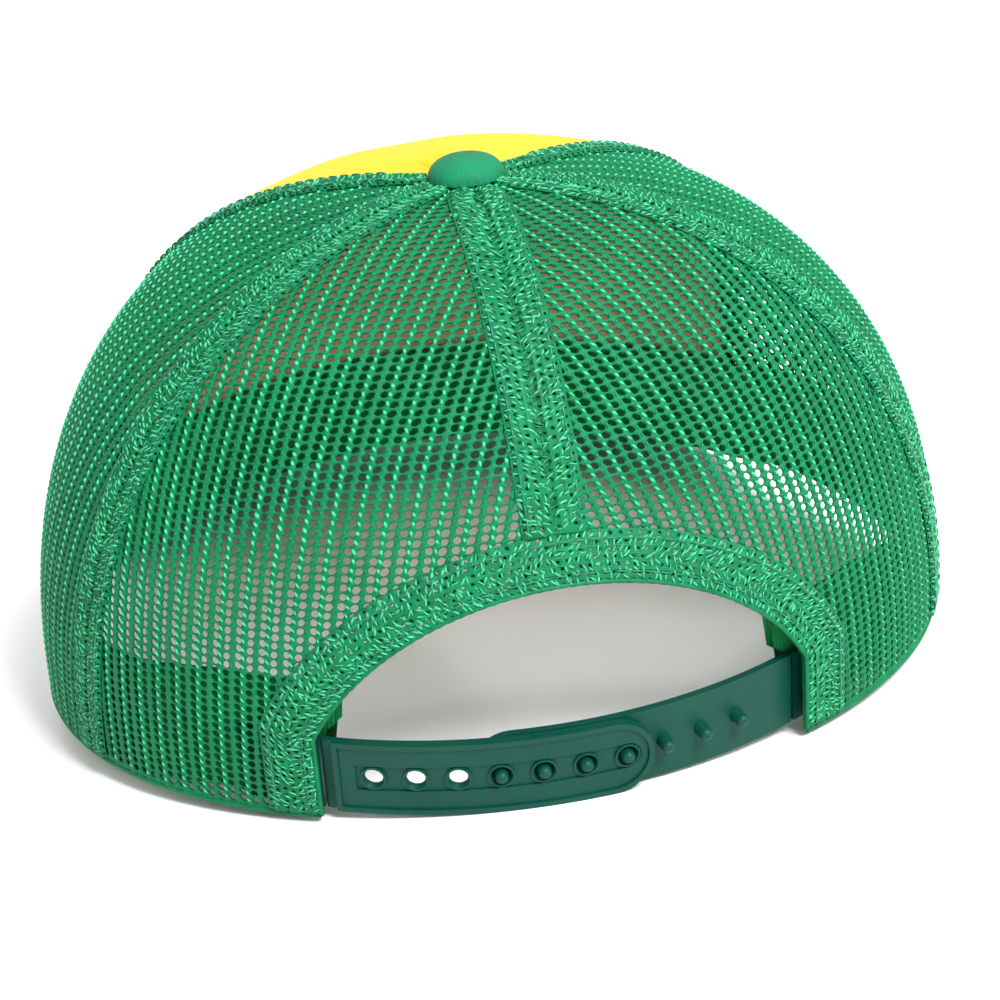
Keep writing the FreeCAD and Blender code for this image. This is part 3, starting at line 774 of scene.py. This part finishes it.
class CAP_OT_net_panels(bpy.types.Operator):
    """Knit the four net panels, with the yarn that floats over their wales"""
    bl_idname = "cap.net_panels"
    bl_label = "Net Panels"

    def execute(self, context):
        sizes, colours = context.scene.cap_sizes, context.scene.cap_colours
        cell = (mm(sizes.wale_pitch), mm(sizes.row_pitch))
        hole = (mm(sizes.hole_width), mm(sizes.hole_height))
        broad, thin = [], []
        for number, (name, low_seam, high_seam, middle, half_range) in enumerate(PANELS):
            cloth = Cloth(middle, half_range)
            columns = 2 * math.ceil(cloth.reach / (2 * cell[0]))
            reach = columns * cell[0]
            top = float(cloth.up[-3])
            inside = panel_inside(cloth, low_seam, high_seam)
            points, quads, weave = knitted_net(
                inside, cloth.surface, (-reach, 0.0), (reach, top), cell, hole, 22, NET_THICKNESS,
                (0.26, 0.12, 0.2), 0.07, 11 + number)
            make_piece("net_" + name, points, quads, look("net", colours),
                       weave=weave, replaces=("mesh_" + name,))
            margin_inside = panel_inside(cloth, low_seam, high_seam, 1.2)
            grid = (cloth.surface, margin_inside, reach, top, cell)
            broad.append(self.floats(*grid, 0, 1.7, 0.8, 0.3, -36, 61 + number))
            thin.append(self.floats(*grid, 1, 1.25, 0.4, 0.2, 34, 71 + number))
        for name, made, key in (("net_floats_highlight", broad, "float"), ("net_thin_floats", thin, "thin_float_and_highlight")):
            points, quads, triangles = join(made)
            make_piece(name, points, quads, look(key, colours), triangles=triangles)
        return {"FINISHED"}

    def floats(self, surface, inside, reach, top, cell, first, length, width, height, lean, seed):
        """One float to each stitch of every second wale."""
        rng = np.random.default_rng(seed)
        across = np.arange(-reach + first * cell[0], reach, 2 * cell[0])
        up = np.arange(cell[1] / 2, top, cell[1])
        u, v = (x.ravel() for x in np.meshgrid(across, up, indexing="ij"))
        keep = inside(u, v)
        u, v = u[keep], v[keep]
        vary = rng.normal(0, 1, (4, u.size)).clip(-2, 2)
        # The floats, lighter as painted highlight, are drawn wider higher up, so more painted highlight
        # shows towards the top
        width = width * (0.6 + 0.4 * ease((v - 40) / 18))
        return yarn_floats(surface, u + 0.06 * vary[0], v, length * (1 + 0.1 * vary[1]),
                           width * (1 + 0.12 * vary[2]), height, lean + 7 * vary[3])


class CAP_OT_seam_bands(bpy.types.Operator):
    """Lay the folded bands over the seams, with the floats that cross their grooves"""
    bl_idname = "cap.seam_bands"
    bl_label = "Seam Bands"

    def execute(self, context):
        sizes, colours = context.scene.cap_sizes, context.scene.cap_colours
        hole = mm(sizes.band_hole)
        floats = []
        for number, (name, seam, low, edges) in enumerate(SEAMS):
            band = Band(seam, low, edges)
            rows = round(band.length / 1.75)
            pitch = band.length / rows

            def inside(across, up, band=band):
                spot = band.surface(across, up, 0.0)
                here = ((across >= band.edges[0] - 1e-6) & (across <= band.edges[1] + 1e-6)
                        & (up >= -1e-6) & (up <= band.length + 1e-6))
                return here & ~in_opening(spot, HEM_WIDTH + LAYER_GAP)
            points, quads, weave = knitted_net(
                inside, band.surface, (edges[0], 0.0), (edges[1], band.length),
                ((edges[1] - edges[0]) / round((edges[1] - edges[0]) / 1.4), pitch), (hole, hole * 1.15), 30,
                BAND_THICKNESS - LAYER_GAP, (0.26, 0.04, 0.16), 0.2, 31 + number)
            make_piece("band_" + name, points, quads, look("band", colours),
                       weave=weave, replaces=("seam_band_" + name,))
            floats.append(loose_floats(band.surface, inside, (edges[0] + 0.8, 1.0),
                                       (edges[1] - 0.8, band.length - 1.0), (1.3, 1.3), 81 + number))
        points, quads, triangles = join(floats)
        make_piece("band_floats_highlight", points, quads, look("loop_and_highlight", colours),
                   triangles=triangles)
        return {"FINISHED"}


class CAP_OT_back_hem(bpy.types.Operator):
    """Fold the hem round the back opening, with its rolled edge"""
    bl_idname = "cap.back_hem"
    bl_label = "Opening Hem"

    def execute(self, context):
        sizes, colours = context.scene.cap_sizes, context.scene.cap_colours
        hem = Hem()
        rows = round(hem.length / 1.75)
        hole = mm(sizes.band_hole)

        def inside(across, along):
            return ((across >= -1e-6) & (across <= HEM_WIDTH + 1e-6)
                    & (along >= -1e-6) & (along <= hem.length + 1e-6))
        points, quads, weave = knitted_net(
            inside, hem.surface, (0.0, 0.0), (HEM_WIDTH, hem.length), (HEM_WIDTH / 7, hem.length / rows),
            (hole, hole * 1.15), 32, BAND_THICKNESS - LAYER_GAP, (0.26, 0.04, 0.16), 0.2, 51)
        make_piece("hem_back", points, quads, look("band", colours),
                   weave=weave, replaces=("back_arch_hem",))
        self.rolled_edge(hem, colours)
        points, quads, triangles = loose_floats(hem.surface, inside, (0.6, 1.0),
                                                (HEM_WIDTH - 0.6, hem.length - 1.0), (1.3, 1.3), 91)
        make_piece("hem_floats", points, quads, look("loop_and_highlight", colours),
                   triangles=triangles)
        return {"FINISHED"}

    def rolled_edge(self, hem, colours):
        """The fold that closes the cut edges of hem and net round the opening."""
        share = np.linspace(0.0, 1.0, 420)
        ring = []
        for angle in np.radians(np.arange(12) * 30.0):
            out = 0.35 - 0.62 * math.cos(angle)
            depth = 0.18 + 0.92 * math.sin(angle)
            ripple = 0.1 * np.sin(share * 2 * math.pi * 74 + 3 * angle)
            x, z = hem.outline(np.full(share.shape, out), share)
            ring.append(back_point(x, z, depth + ripple))
        rings = np.stack(ring, 1)
        points, quads = tube(rings)
        flat = np.stack(np.broadcast_arrays(np.arange(12)[None, :] * 0.3, share[:, None] * hem.length), -1)
        make_piece("hem_edge", points, quads, look("band", colours), weave=flat)


def front_grid(rows, columns, low, inset):
    """Grid over the front panel: azimuths across it and rises up it, with the points."""
    share = np.linspace(0.0, 1.0, columns)[None, :]
    climb = np.linspace(0.0, 1.0, rows)[:, None]
    base_azimuth = FRONT_SEAM[1] + (360 - 2 * FRONT_SEAM[1]) * share + 0 * climb
    foot = rise_at(base_azimuth, low)
    rise = foot + (PANEL_TOP - foot) * climb
    left, right = seam_azimuth(FRONT_SEAM, rise), 360 - seam_azimuth(FRONT_SEAM, rise)
    azimuth = left + (right - left) * share
    return azimuth, rise, crown(azimuth, rise, inset(azimuth, rise, share + 0 * climb))


def dart(azimuth, rise):
    """Depth of the two darts that shape the front panel beside the button."""
    depth = 0
    spot = crown(azimuth, rise)
    radius = np.hypot(spot[..., 0], spot[..., 1] + BUTTON_SET_BACK * (1 - spot[..., 2] / CROWN_HEIGHT))
    for middle in DARTS:
        off = np.radians(azimuth - middle) * radius
        depth = depth + np.exp(-(off / 0.9) ** 2) * ease((radius - 6) / 3) * ease((27 - radius) / 12)
    return depth


def ripples(azimuth, rise, seed, size):
    """Soft unevenness, the same on every run."""
    rng = np.random.default_rng(seed)
    total = 0
    for _ in range(7):
        a, b, phase = rng.uniform(0.04, 0.2), rng.uniform(0.04, 0.2), rng.uniform(0, 6.28)
        total = total + np.sin(a * azimuth + b * rise + phase)
    return total / 7 * size


class CAP_OT_front_panel(bpy.types.Operator):
    """Make the front panel's cloth and the foam behind it"""
    bl_idname = "cap.front_panel"
    bl_label = "Front Panel"

    def execute(self, context):
        colours = context.scene.cap_colours

        def top(azimuth, rise, share):
            seam = np.exp(-(np.minimum(share, 1 - share) / 0.035) ** 2)
            return 0.3 * seam + 1.3 * dart(azimuth, rise) + np.maximum(ripples(azimuth, rise, 5, 0.5), -0.1)

        def under(azimuth, rise, share):
            return top(azimuth, rise, share) + 0.45
        azimuth, rise, outer = front_grid(190, 220, 0.3, top)
        inner = front_grid(190, 220, 0.3, under)[2]
        points, quads = shell(outer, inner)
        flat = np.stack(((azimuth - 180) * 1.6, rise * 1.7), -1)
        make_piece("front_cloth", points, quads, look("cover", colours),
                   weave=np.concatenate((flat.reshape(-1, 2),) * 2), replaces=("front_cover",))

        def foam_top(azimuth, rise, share):
            return 1.35 + 0.4 * dart(azimuth, rise)

        def foam_under(azimuth, rise, share):
            edge = np.exp(-(np.minimum(share, 1 - share) / 0.02) ** 2)
            crease = 0.5 * dart(azimuth, rise)
            return 3.9 - 1.4 * edge + crease + np.minimum(ripples(azimuth, rise, 8, 0.9), 0.2)
        azimuth, rise, outer = front_grid(120, 150, 0.6, foam_top)
        inner = front_grid(120, 150, 0.6, foam_under)[2]
        points, quads = shell(outer, inner)
        foam = make_piece("front_foam_pad", points, quads, look("foam", colours),
                          replaces=("front_foam",))
        return {"FINISHED"}


def sweatband_inset(azimuth):
    off = np.minimum(azimuth, 360 - azimuth)
    return 1.2 + 2.9 * ease((off - 118) / 10) + 4.4 * ease((60 - off) / 15)


class CAP_OT_sweatband(bpy.types.Operator):
    """Sew the folded sweatband inside the base edge"""
    bl_idname = "cap.sweatband"
    bl_label = "Sweatband"

    def execute(self, context):
        colours = context.scene.cap_colours
        share = np.linspace(0.0, 1.0, 640)[:, None]
        angles = np.linspace(0, 2 * math.pi, 13)[:-1]
        flat = np.linspace(0.0, 1.0, 15)[1:-1]
        half = SWEATBAND_THICKNESS / 2
        low, high = 0.6 + half, SWEATBAND_HEIGHT - half
        height = np.concatenate((low + (high - low) * flat, high + half * np.sin(angles[0:7]),
                                 (high - (high - low) * flat), low - half * np.sin(angles[0:7])))
        depth = np.concatenate((np.zeros(13), half - half * np.cos(angles[0:7]),
                                np.full(13, 2 * half), half + half * np.cos(angles[0:7])))
        inner = np.concatenate((np.zeros(13), np.linspace(0, 1, 7), np.ones(13), np.linspace(1, 0, 7)))
        size = len(height)
        end = SWEATBAND_END + SWEATBAND_STEP * ease((STRAP_TOP - height) / 1.2)
        start = np.degrees(np.arcsin(end / HALF_WIDTH))[None, :]
        azimuth = start + (360 - 2 * start) * share
        ripple = ripples(azimuth, height[None, :] * 2, 12, 0.6) + 0.18 * np.sin(azimuth * 3.1)
        low_row, high_row = (np.exp(-((height - row) / 0.7) ** 2) for row in SWEATBAND_ROWS)
        groove = (low_row + 0.7 * high_row)[None, :]
        give = inner[None, :] * (np.minimum(ripple, 0.2) - 0.45 * groove)
        inset = sweatband_inset(azimuth) + depth[None, :] + give
        rise = rise_at(azimuth, height[None, :] + 0 * azimuth, inset)
        rings = crown(azimuth, rise, inset)
        points, quads = tube(rings)
        weave = np.stack(np.broadcast_arrays(azimuth * 1.7, np.cumsum(np.full(size, 1.4))[None, :]), -1)
        make_piece("sweatband_fold", points, quads, look("sweatband", colours),
                   weave=weave, replaces=("sweatband_core", "sweatband_skin"))
        return {"FINISHED"}


def visor_lines(share, along):
    """Points of the visor's middle layer, from the crown (0) to the rim (1), and its run there."""
    share, along = np.broadcast_arrays(share, along)
    corner_x = HALF_WIDTH * math.sin(math.radians(VISOR_ANGLE))
    corner_y = -FRONT_REACH * math.cos(math.radians(VISOR_ANGLE)) - BUTTON_SET_BACK
    length = FRONT_REACH + BUTTON_SET_BACK + VISOR_LENGTH + corner_y
    turn = np.radians(VISOR_ANGLE) * share
    inner = np.stack(((HALF_WIDTH + 0.2) * np.sin(turn),
                      -(FRONT_REACH + 0.2) * np.cos(turn) - BUTTON_SET_BACK, 0 * turn), -1)
    sweep = np.radians(90.0) * share
    outer = np.stack((corner_x * power(np.sin(sweep), 2 / VISOR_OUTLINE),
                      corner_y - length * power(np.cos(sweep), 2 / VISOR_OUTLINE), 0 * turn), -1)
    run = np.linalg.norm(outer - inner, axis=-1)
    place = inner + (outer - inner) * along[..., None]
    droop = run * along * (VISOR_SLOPE + VISOR_CURL * (place[..., 0] / corner_x) ** 2)
    place[..., 2] = VISOR_SEAT - droop
    return place, run


class CAP_OT_visor(bpy.types.Operator):
    """Wrap the visor's cloth round its board and sew its rows"""
    bl_idname = "cap.visor"
    bl_label = "Visor"

    def execute(self, context):
        sizes, colours = context.scene.cap_sizes, context.scene.cap_colours
        share = np.linspace(-VISOR_CORNER, VISOR_CORNER, 181)[:, None]
        flat = np.linspace(0.0, 1.0, 40)
        run = visor_lines(share, np.ones((1, 1)))[1]
        reach = 1 - 1.0 / run
        rim = np.radians(np.linspace(90, -90, 9))[1:-1]
        lift = np.concatenate((np.full(40, VISOR_HALF), VISOR_HALF * np.sin(rim), np.full(40, -VISOR_HALF)))
        beyond = np.concatenate((np.zeros(40), np.cos(rim), np.zeros(40)))[None, :]
        along = np.concatenate((flat, np.ones(len(rim)), flat[::-1]))[None, :] * reach + beyond / run
        place = visor_lines(share, along)[0]
        rows = np.arange(1, VISOR_ROWS + 1) * VISOR_ROW_PITCH
        from_rim = (1 - along) * run
        groove = sum(np.exp(-((from_rim - r) / 0.8) ** 2) for r in rows) * 0.22
        outer = np.abs(lift)[None, :] >= VISOR_HALF - 1e-6
        place[..., 2] += lift[None, :] - np.sign(lift)[None, :] * np.where(outer, groove, 0.0)
        points, quads = tube(place)
        weave = np.stack(np.broadcast_arrays(place[..., 0], place[..., 1]), -1)
        make_piece("visor_cloth", points, quads, look("visor", colours), weave=weave,
                   replaces=("visor_top_cover", "visor_under_cover"))
        parts = []
        line = np.linspace(-VISOR_CORNER + 0.015, VISOR_CORNER - 0.015, 500)
        up = np.array((0.0, 0.0, 1.0))
        for row in rows:
            for side in (1, -1):
                along = 1 - row / visor_lines(line, np.ones(1))[1]
                keep = along > 0.06
                path = visor_lines(line[keep], along[keep])[0] + up * side * (VISOR_HALF - 0.2)
                outward = np.broadcast_to(up * side, path.shape)
                parts.append(stitches(path, outward, mm(sizes.stitch_length), mm(sizes.stitch_gap),
                                      mm(sizes.thread_radius)))
        points, quads, _ = join(parts)
        make_piece("visor_stitches", points, quads, look("thread", colours))
        return {"FINISHED"}


class CAP_OT_button(bpy.types.Operator):
    """Cover the button with ribbed cloth, gathered under its rim"""
    bl_idname = "cap.button"
    bl_label = "Button"

    def execute(self, context):
        colours = context.scene.cap_colours
        foot = CROWN_HEIGHT + BUTTON_LIFT
        climb = np.radians(np.concatenate((np.linspace(0, 84, 40), np.linspace(85, 89.9, 12))))
        profile = [(5.6, 0.25), (6.6, 0.05), (7.3, 0.1)]
        profile += [(BUTTON_RADIUS * math.cos(c) ** (2 / 2.45), BUTTON_HEIGHT * math.sin(c) ** (2 / 2.25))
                    for c in climb]
        profile = np.array(profile)
        turn = np.linspace(0, 2 * math.pi, 161)[:-1]
        r, z = profile[:, 0][:, None], profile[:, 1][:, None]
        x, y = r * np.cos(turn)[None, :], r * np.sin(turn)[None, :]
        slope = np.gradient(profile, axis=0)
        out = unit(np.stack((slope[:, 1], -slope[:, 0]), -1))
        rib = 0.035 * np.cos(x / BUTTON_RIB_PITCH * 2 * math.pi) - 0.02
        pleat = 0.10 * np.sin(turn * 26)[None, :] * np.exp(-(z / 0.9) ** 2)
        push = (rib * ease(z / 1.0) + pleat)
        x = x + push * out[:, 0][:, None] * np.cos(turn)[None, :]
        y = y + push * out[:, 0][:, None] * np.sin(turn)[None, :]
        height = z + push * out[:, 1][:, None]
        rings = np.stack((x, y, height + foot), -1)
        points, quads = tube(rings)
        weave = np.stack((rings[..., 0], rings[..., 1] + rings[..., 2]), -1)
        make_piece("button_cloth", points, quads, look("button", colours),
                   weave=weave, replaces=("button_cover",))
        return {"FINISHED"}


class CAP_OT_stitching(bpy.types.Operator):
    """Topstitch the seam bands, the hem and the sweatband, and fold the net's base edge"""
    bl_idname = "cap.stitching"
    bl_label = "Stitching"

    def execute(self, context):
        sizes, colours = context.scene.cap_sizes, context.scene.cap_colours
        make = (mm(sizes.stitch_length), mm(sizes.stitch_gap), mm(sizes.thread_radius))
        parts = []
        for name, seam, low, edges in SEAMS:
            band = Band(seam, low, edges)
            up = np.linspace(1.5, band.length - 9.0, 400)
            for across in (edges[0] + 1.2, edges[1] - 1.2):
                path, outward = row_on(band.surface, across, up)
                keep = ~in_opening(path, HEM_WIDTH + 1)
                parts.append(stitches(path[keep], outward[keep], *make))
        hem = Hem()
        along = np.linspace(0.5, hem.length - 0.5, 600)
        for across in HEM_ROWS:
            path, outward = row_on(hem.surface, across, along)
            parts.append(stitches(path, outward, *make))
        points, quads, _ = join(parts)
        make_piece("seam_stitches", points, quads, look("thread", colours))
        parts = []
        azimuth = np.linspace(34.0, 326.0, 1500)
        for height, lift in zip(SWEATBAND_ROWS, (0.45, 0.3)):
            inset = sweatband_inset(azimuth) + SWEATBAND_THICKNESS - lift + 0.1
            path = crown(azimuth, rise_at(azimuth, height, inset), inset)
            inward = unit(crown(azimuth, rise_at(azimuth, height, inset + 1), inset + 1) - path)
            parts.append(stitches(path, inward, *make))
        points, quads, _ = join(parts)
        make_piece("sweatband_stitches", points, quads, look("thread", colours))
        self.base_edge(colours)
        return {"FINISHED"}

    def base_edge(self, colours):
        """The net's folded lower edge."""
        start = math.degrees(math.asin((ARCH_LEG + 0.5) / HALF_WIDTH))
        azimuth = np.linspace(start, 360 - start, 900)
        ring = []
        for angle in np.radians(np.arange(10) * 36.0):
            inset = 0.5 - 0.75 * math.cos(angle)
            height = 0.75 + 0.7 * math.sin(angle) + 0.05 * np.sin(azimuth * 12)
            ring.append(crown(azimuth, rise_at(azimuth, np.maximum(height, 0.0), inset), inset))
        points, quads = tube(np.stack(ring, 1))
        weave = np.stack(np.broadcast_arrays(azimuth[:, None] * 1.7, np.arange(10)[None, :] * 0.4), -1)
        make_piece("base_fold", points, quads, look("band", colours), weave=weave)


class CAP_OT_snap_strap(bpy.types.Operator):
    """Give the snap strap's halves and sewn ends their moulded plastic"""
    bl_idname = "cap.snap_strap"
    bl_label = "Snap Strap"

    def execute(self, context):
        colours = context.scene.cap_colours
        for node in ("strap_half_holes", "strap_half_pegs", "strap_tab_holes", "strap_tab_pegs"):
            paint(node, look("strap", colours))
        return {"FINISHED"}


def paint(node, material):
    """Put one material on a CAD node."""
    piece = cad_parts[node]
    piece.data.materials.clear()
    piece.data.materials.append(material)


class CAP_OT_inner_parts(bpy.types.Operator):
    """Give the visor's board and the button's metal their finishes"""
    bl_idname = "cap.inner_parts"
    bl_label = "Inner Parts"

    def execute(self, context):
        colours = context.scene.cap_colours
        paint("visor_board", look("board", colours))
        for node in ("button_shell", "button_washer"):
            paint(node, look("metal", colours))
        return {"FINISHED"}


class CAP_OT_stage(bpy.types.Operator):
    """Set the pale floor, the soft studio light and the camera"""
    bl_idname = "cap.stage"
    bl_label = "Stage"

    def execute(self, context):
        scene = context.scene
        side = scene.cap_sizes.floor_size / 2
        floor = bpy.data.meshes.new("floor")
        base = CAD_BOX[0].z
        corners = ((-side, -side), (side, -side), (side, side), (-side, side))
        floor.from_pydata([(x, y, base) for x, y in corners], [], [(0, 1, 2, 3)])
        floor.materials.append(finish(
            "pale_floor", (0.95, 0.95, 0.955), (0.93, 0.93, 0.935), 0.9, 0.1, 0.0, 0.01, (
                ("noise", "space", 0.03, 0.6),)))
        stand = bpy.data.objects.new("floor", floor)
        scene.collection.objects.link(stand)
        world = bpy.data.worlds.new("studio")
        scene.world = world
        world.use_nodes = True
        world.node_tree.nodes["Background"].inputs["Color"].default_value = (1.0, 1.0, 1.0, 1.0)
        world.node_tree.nodes["Background"].inputs["Strength"].default_value = WORLD_STRENGTH
        middle = (CAD_BOX[0] + CAD_BOX[1]) / 2
        for name, place, size, watts in LAMPS:
            lamp = bpy.data.lights.new(name, "AREA")
            lamp.size, lamp.energy = size, watts
            light = bpy.data.objects.new(name, lamp)
            light.location = Vector(place) + middle
            light.rotation_euler = (middle - light.location).to_track_quat("-Z", "Y").to_euler()
            scene.collection.objects.link(light)
        self.camera(scene)
        scene.view_settings.view_transform = "Standard"
        return {"FINISHED"}

    def camera(self, scene):
        azimuth, elevation, roll = (math.radians(turn) for turn in CAMERA_TURNS)
        back = Vector((math.sin(azimuth) * math.cos(elevation), -math.cos(azimuth) * math.cos(elevation),
                       math.sin(elevation)))
        right = (-back).cross(Vector((0, 0, 1))).normalized()
        up = right.cross(-back)
        across = right * math.cos(roll) + up * math.sin(roll)
        upward = up * math.cos(roll) - right * math.sin(roll)
        stand = Vector(CAMERA_AIM) + back * CAMERA_AWAY
        turn = Matrix.Rotation(-TILT, 3, "X")
        axes = Matrix([turn @ v for v in (across, upward, back)]).transposed().to_4x4()
        camera = bpy.data.cameras.new("camera")
        camera.sensor_width, camera.lens = 36.0, CAMERA_LENS
        eye = bpy.data.objects.new("camera", camera)
        eye.matrix_world = Matrix.Translation(Vector(to_row(stand))) @ axes
        scene.collection.objects.link(eye)
        scene.camera = eye


class CAP_PT_cap(bpy.types.Panel):
    """The cap's pieces, sizes and colours"""
    bl_idname = "CAP_PT_cap"
    bl_label = "Trucker Cap"
    bl_space_type = "VIEW_3D"
    bl_region_type = "UI"
    bl_category = "Cap"

    def draw(self, context):
        layout = self.layout
        for operator in OPERATORS:
            layout.operator(operator.bl_idname)
        for group in (context.scene.cap_sizes, context.scene.cap_colours):
            box = layout.box()
            for name in group.bl_rna.properties.keys():
                if name not in ("rna_type", "name"):
                    box.prop(group, name)


OPERATORS = (CAP_OT_stage, CAP_OT_net_panels, CAP_OT_seam_bands, CAP_OT_back_hem, CAP_OT_front_panel,
             CAP_OT_sweatband, CAP_OT_visor, CAP_OT_button, CAP_OT_stitching, CAP_OT_snap_strap,
             CAP_OT_inner_parts)
CLASSES = (CapColours, CapSizes) + OPERATORS + (CAP_PT_cap,)


def register():
    for item in CLASSES:
        bpy.utils.register_class(item)
    bpy.types.Scene.cap_colours = bpy.props.PointerProperty(type=CapColours)
    bpy.types.Scene.cap_sizes = bpy.props.PointerProperty(type=CapSizes)


def unregister():
    del bpy.types.Scene.cap_sizes
    del bpy.types.Scene.cap_colours
    for item in reversed(CLASSES):
        bpy.utils.unregister_class(item)


def main():
    register()
    bpy.ops.cap.stage()
    bpy.ops.cap.net_panels()
    bpy.ops.cap.seam_bands()
    bpy.ops.cap.back_hem()
    bpy.ops.cap.front_panel()
    bpy.ops.cap.sweatband()
    bpy.ops.cap.visor()
    bpy.ops.cap.button()
    bpy.ops.cap.stitching()
    bpy.ops.cap.snap_strap()
    bpy.ops.cap.inner_parts()


if __name__ == "__main__":
    main()
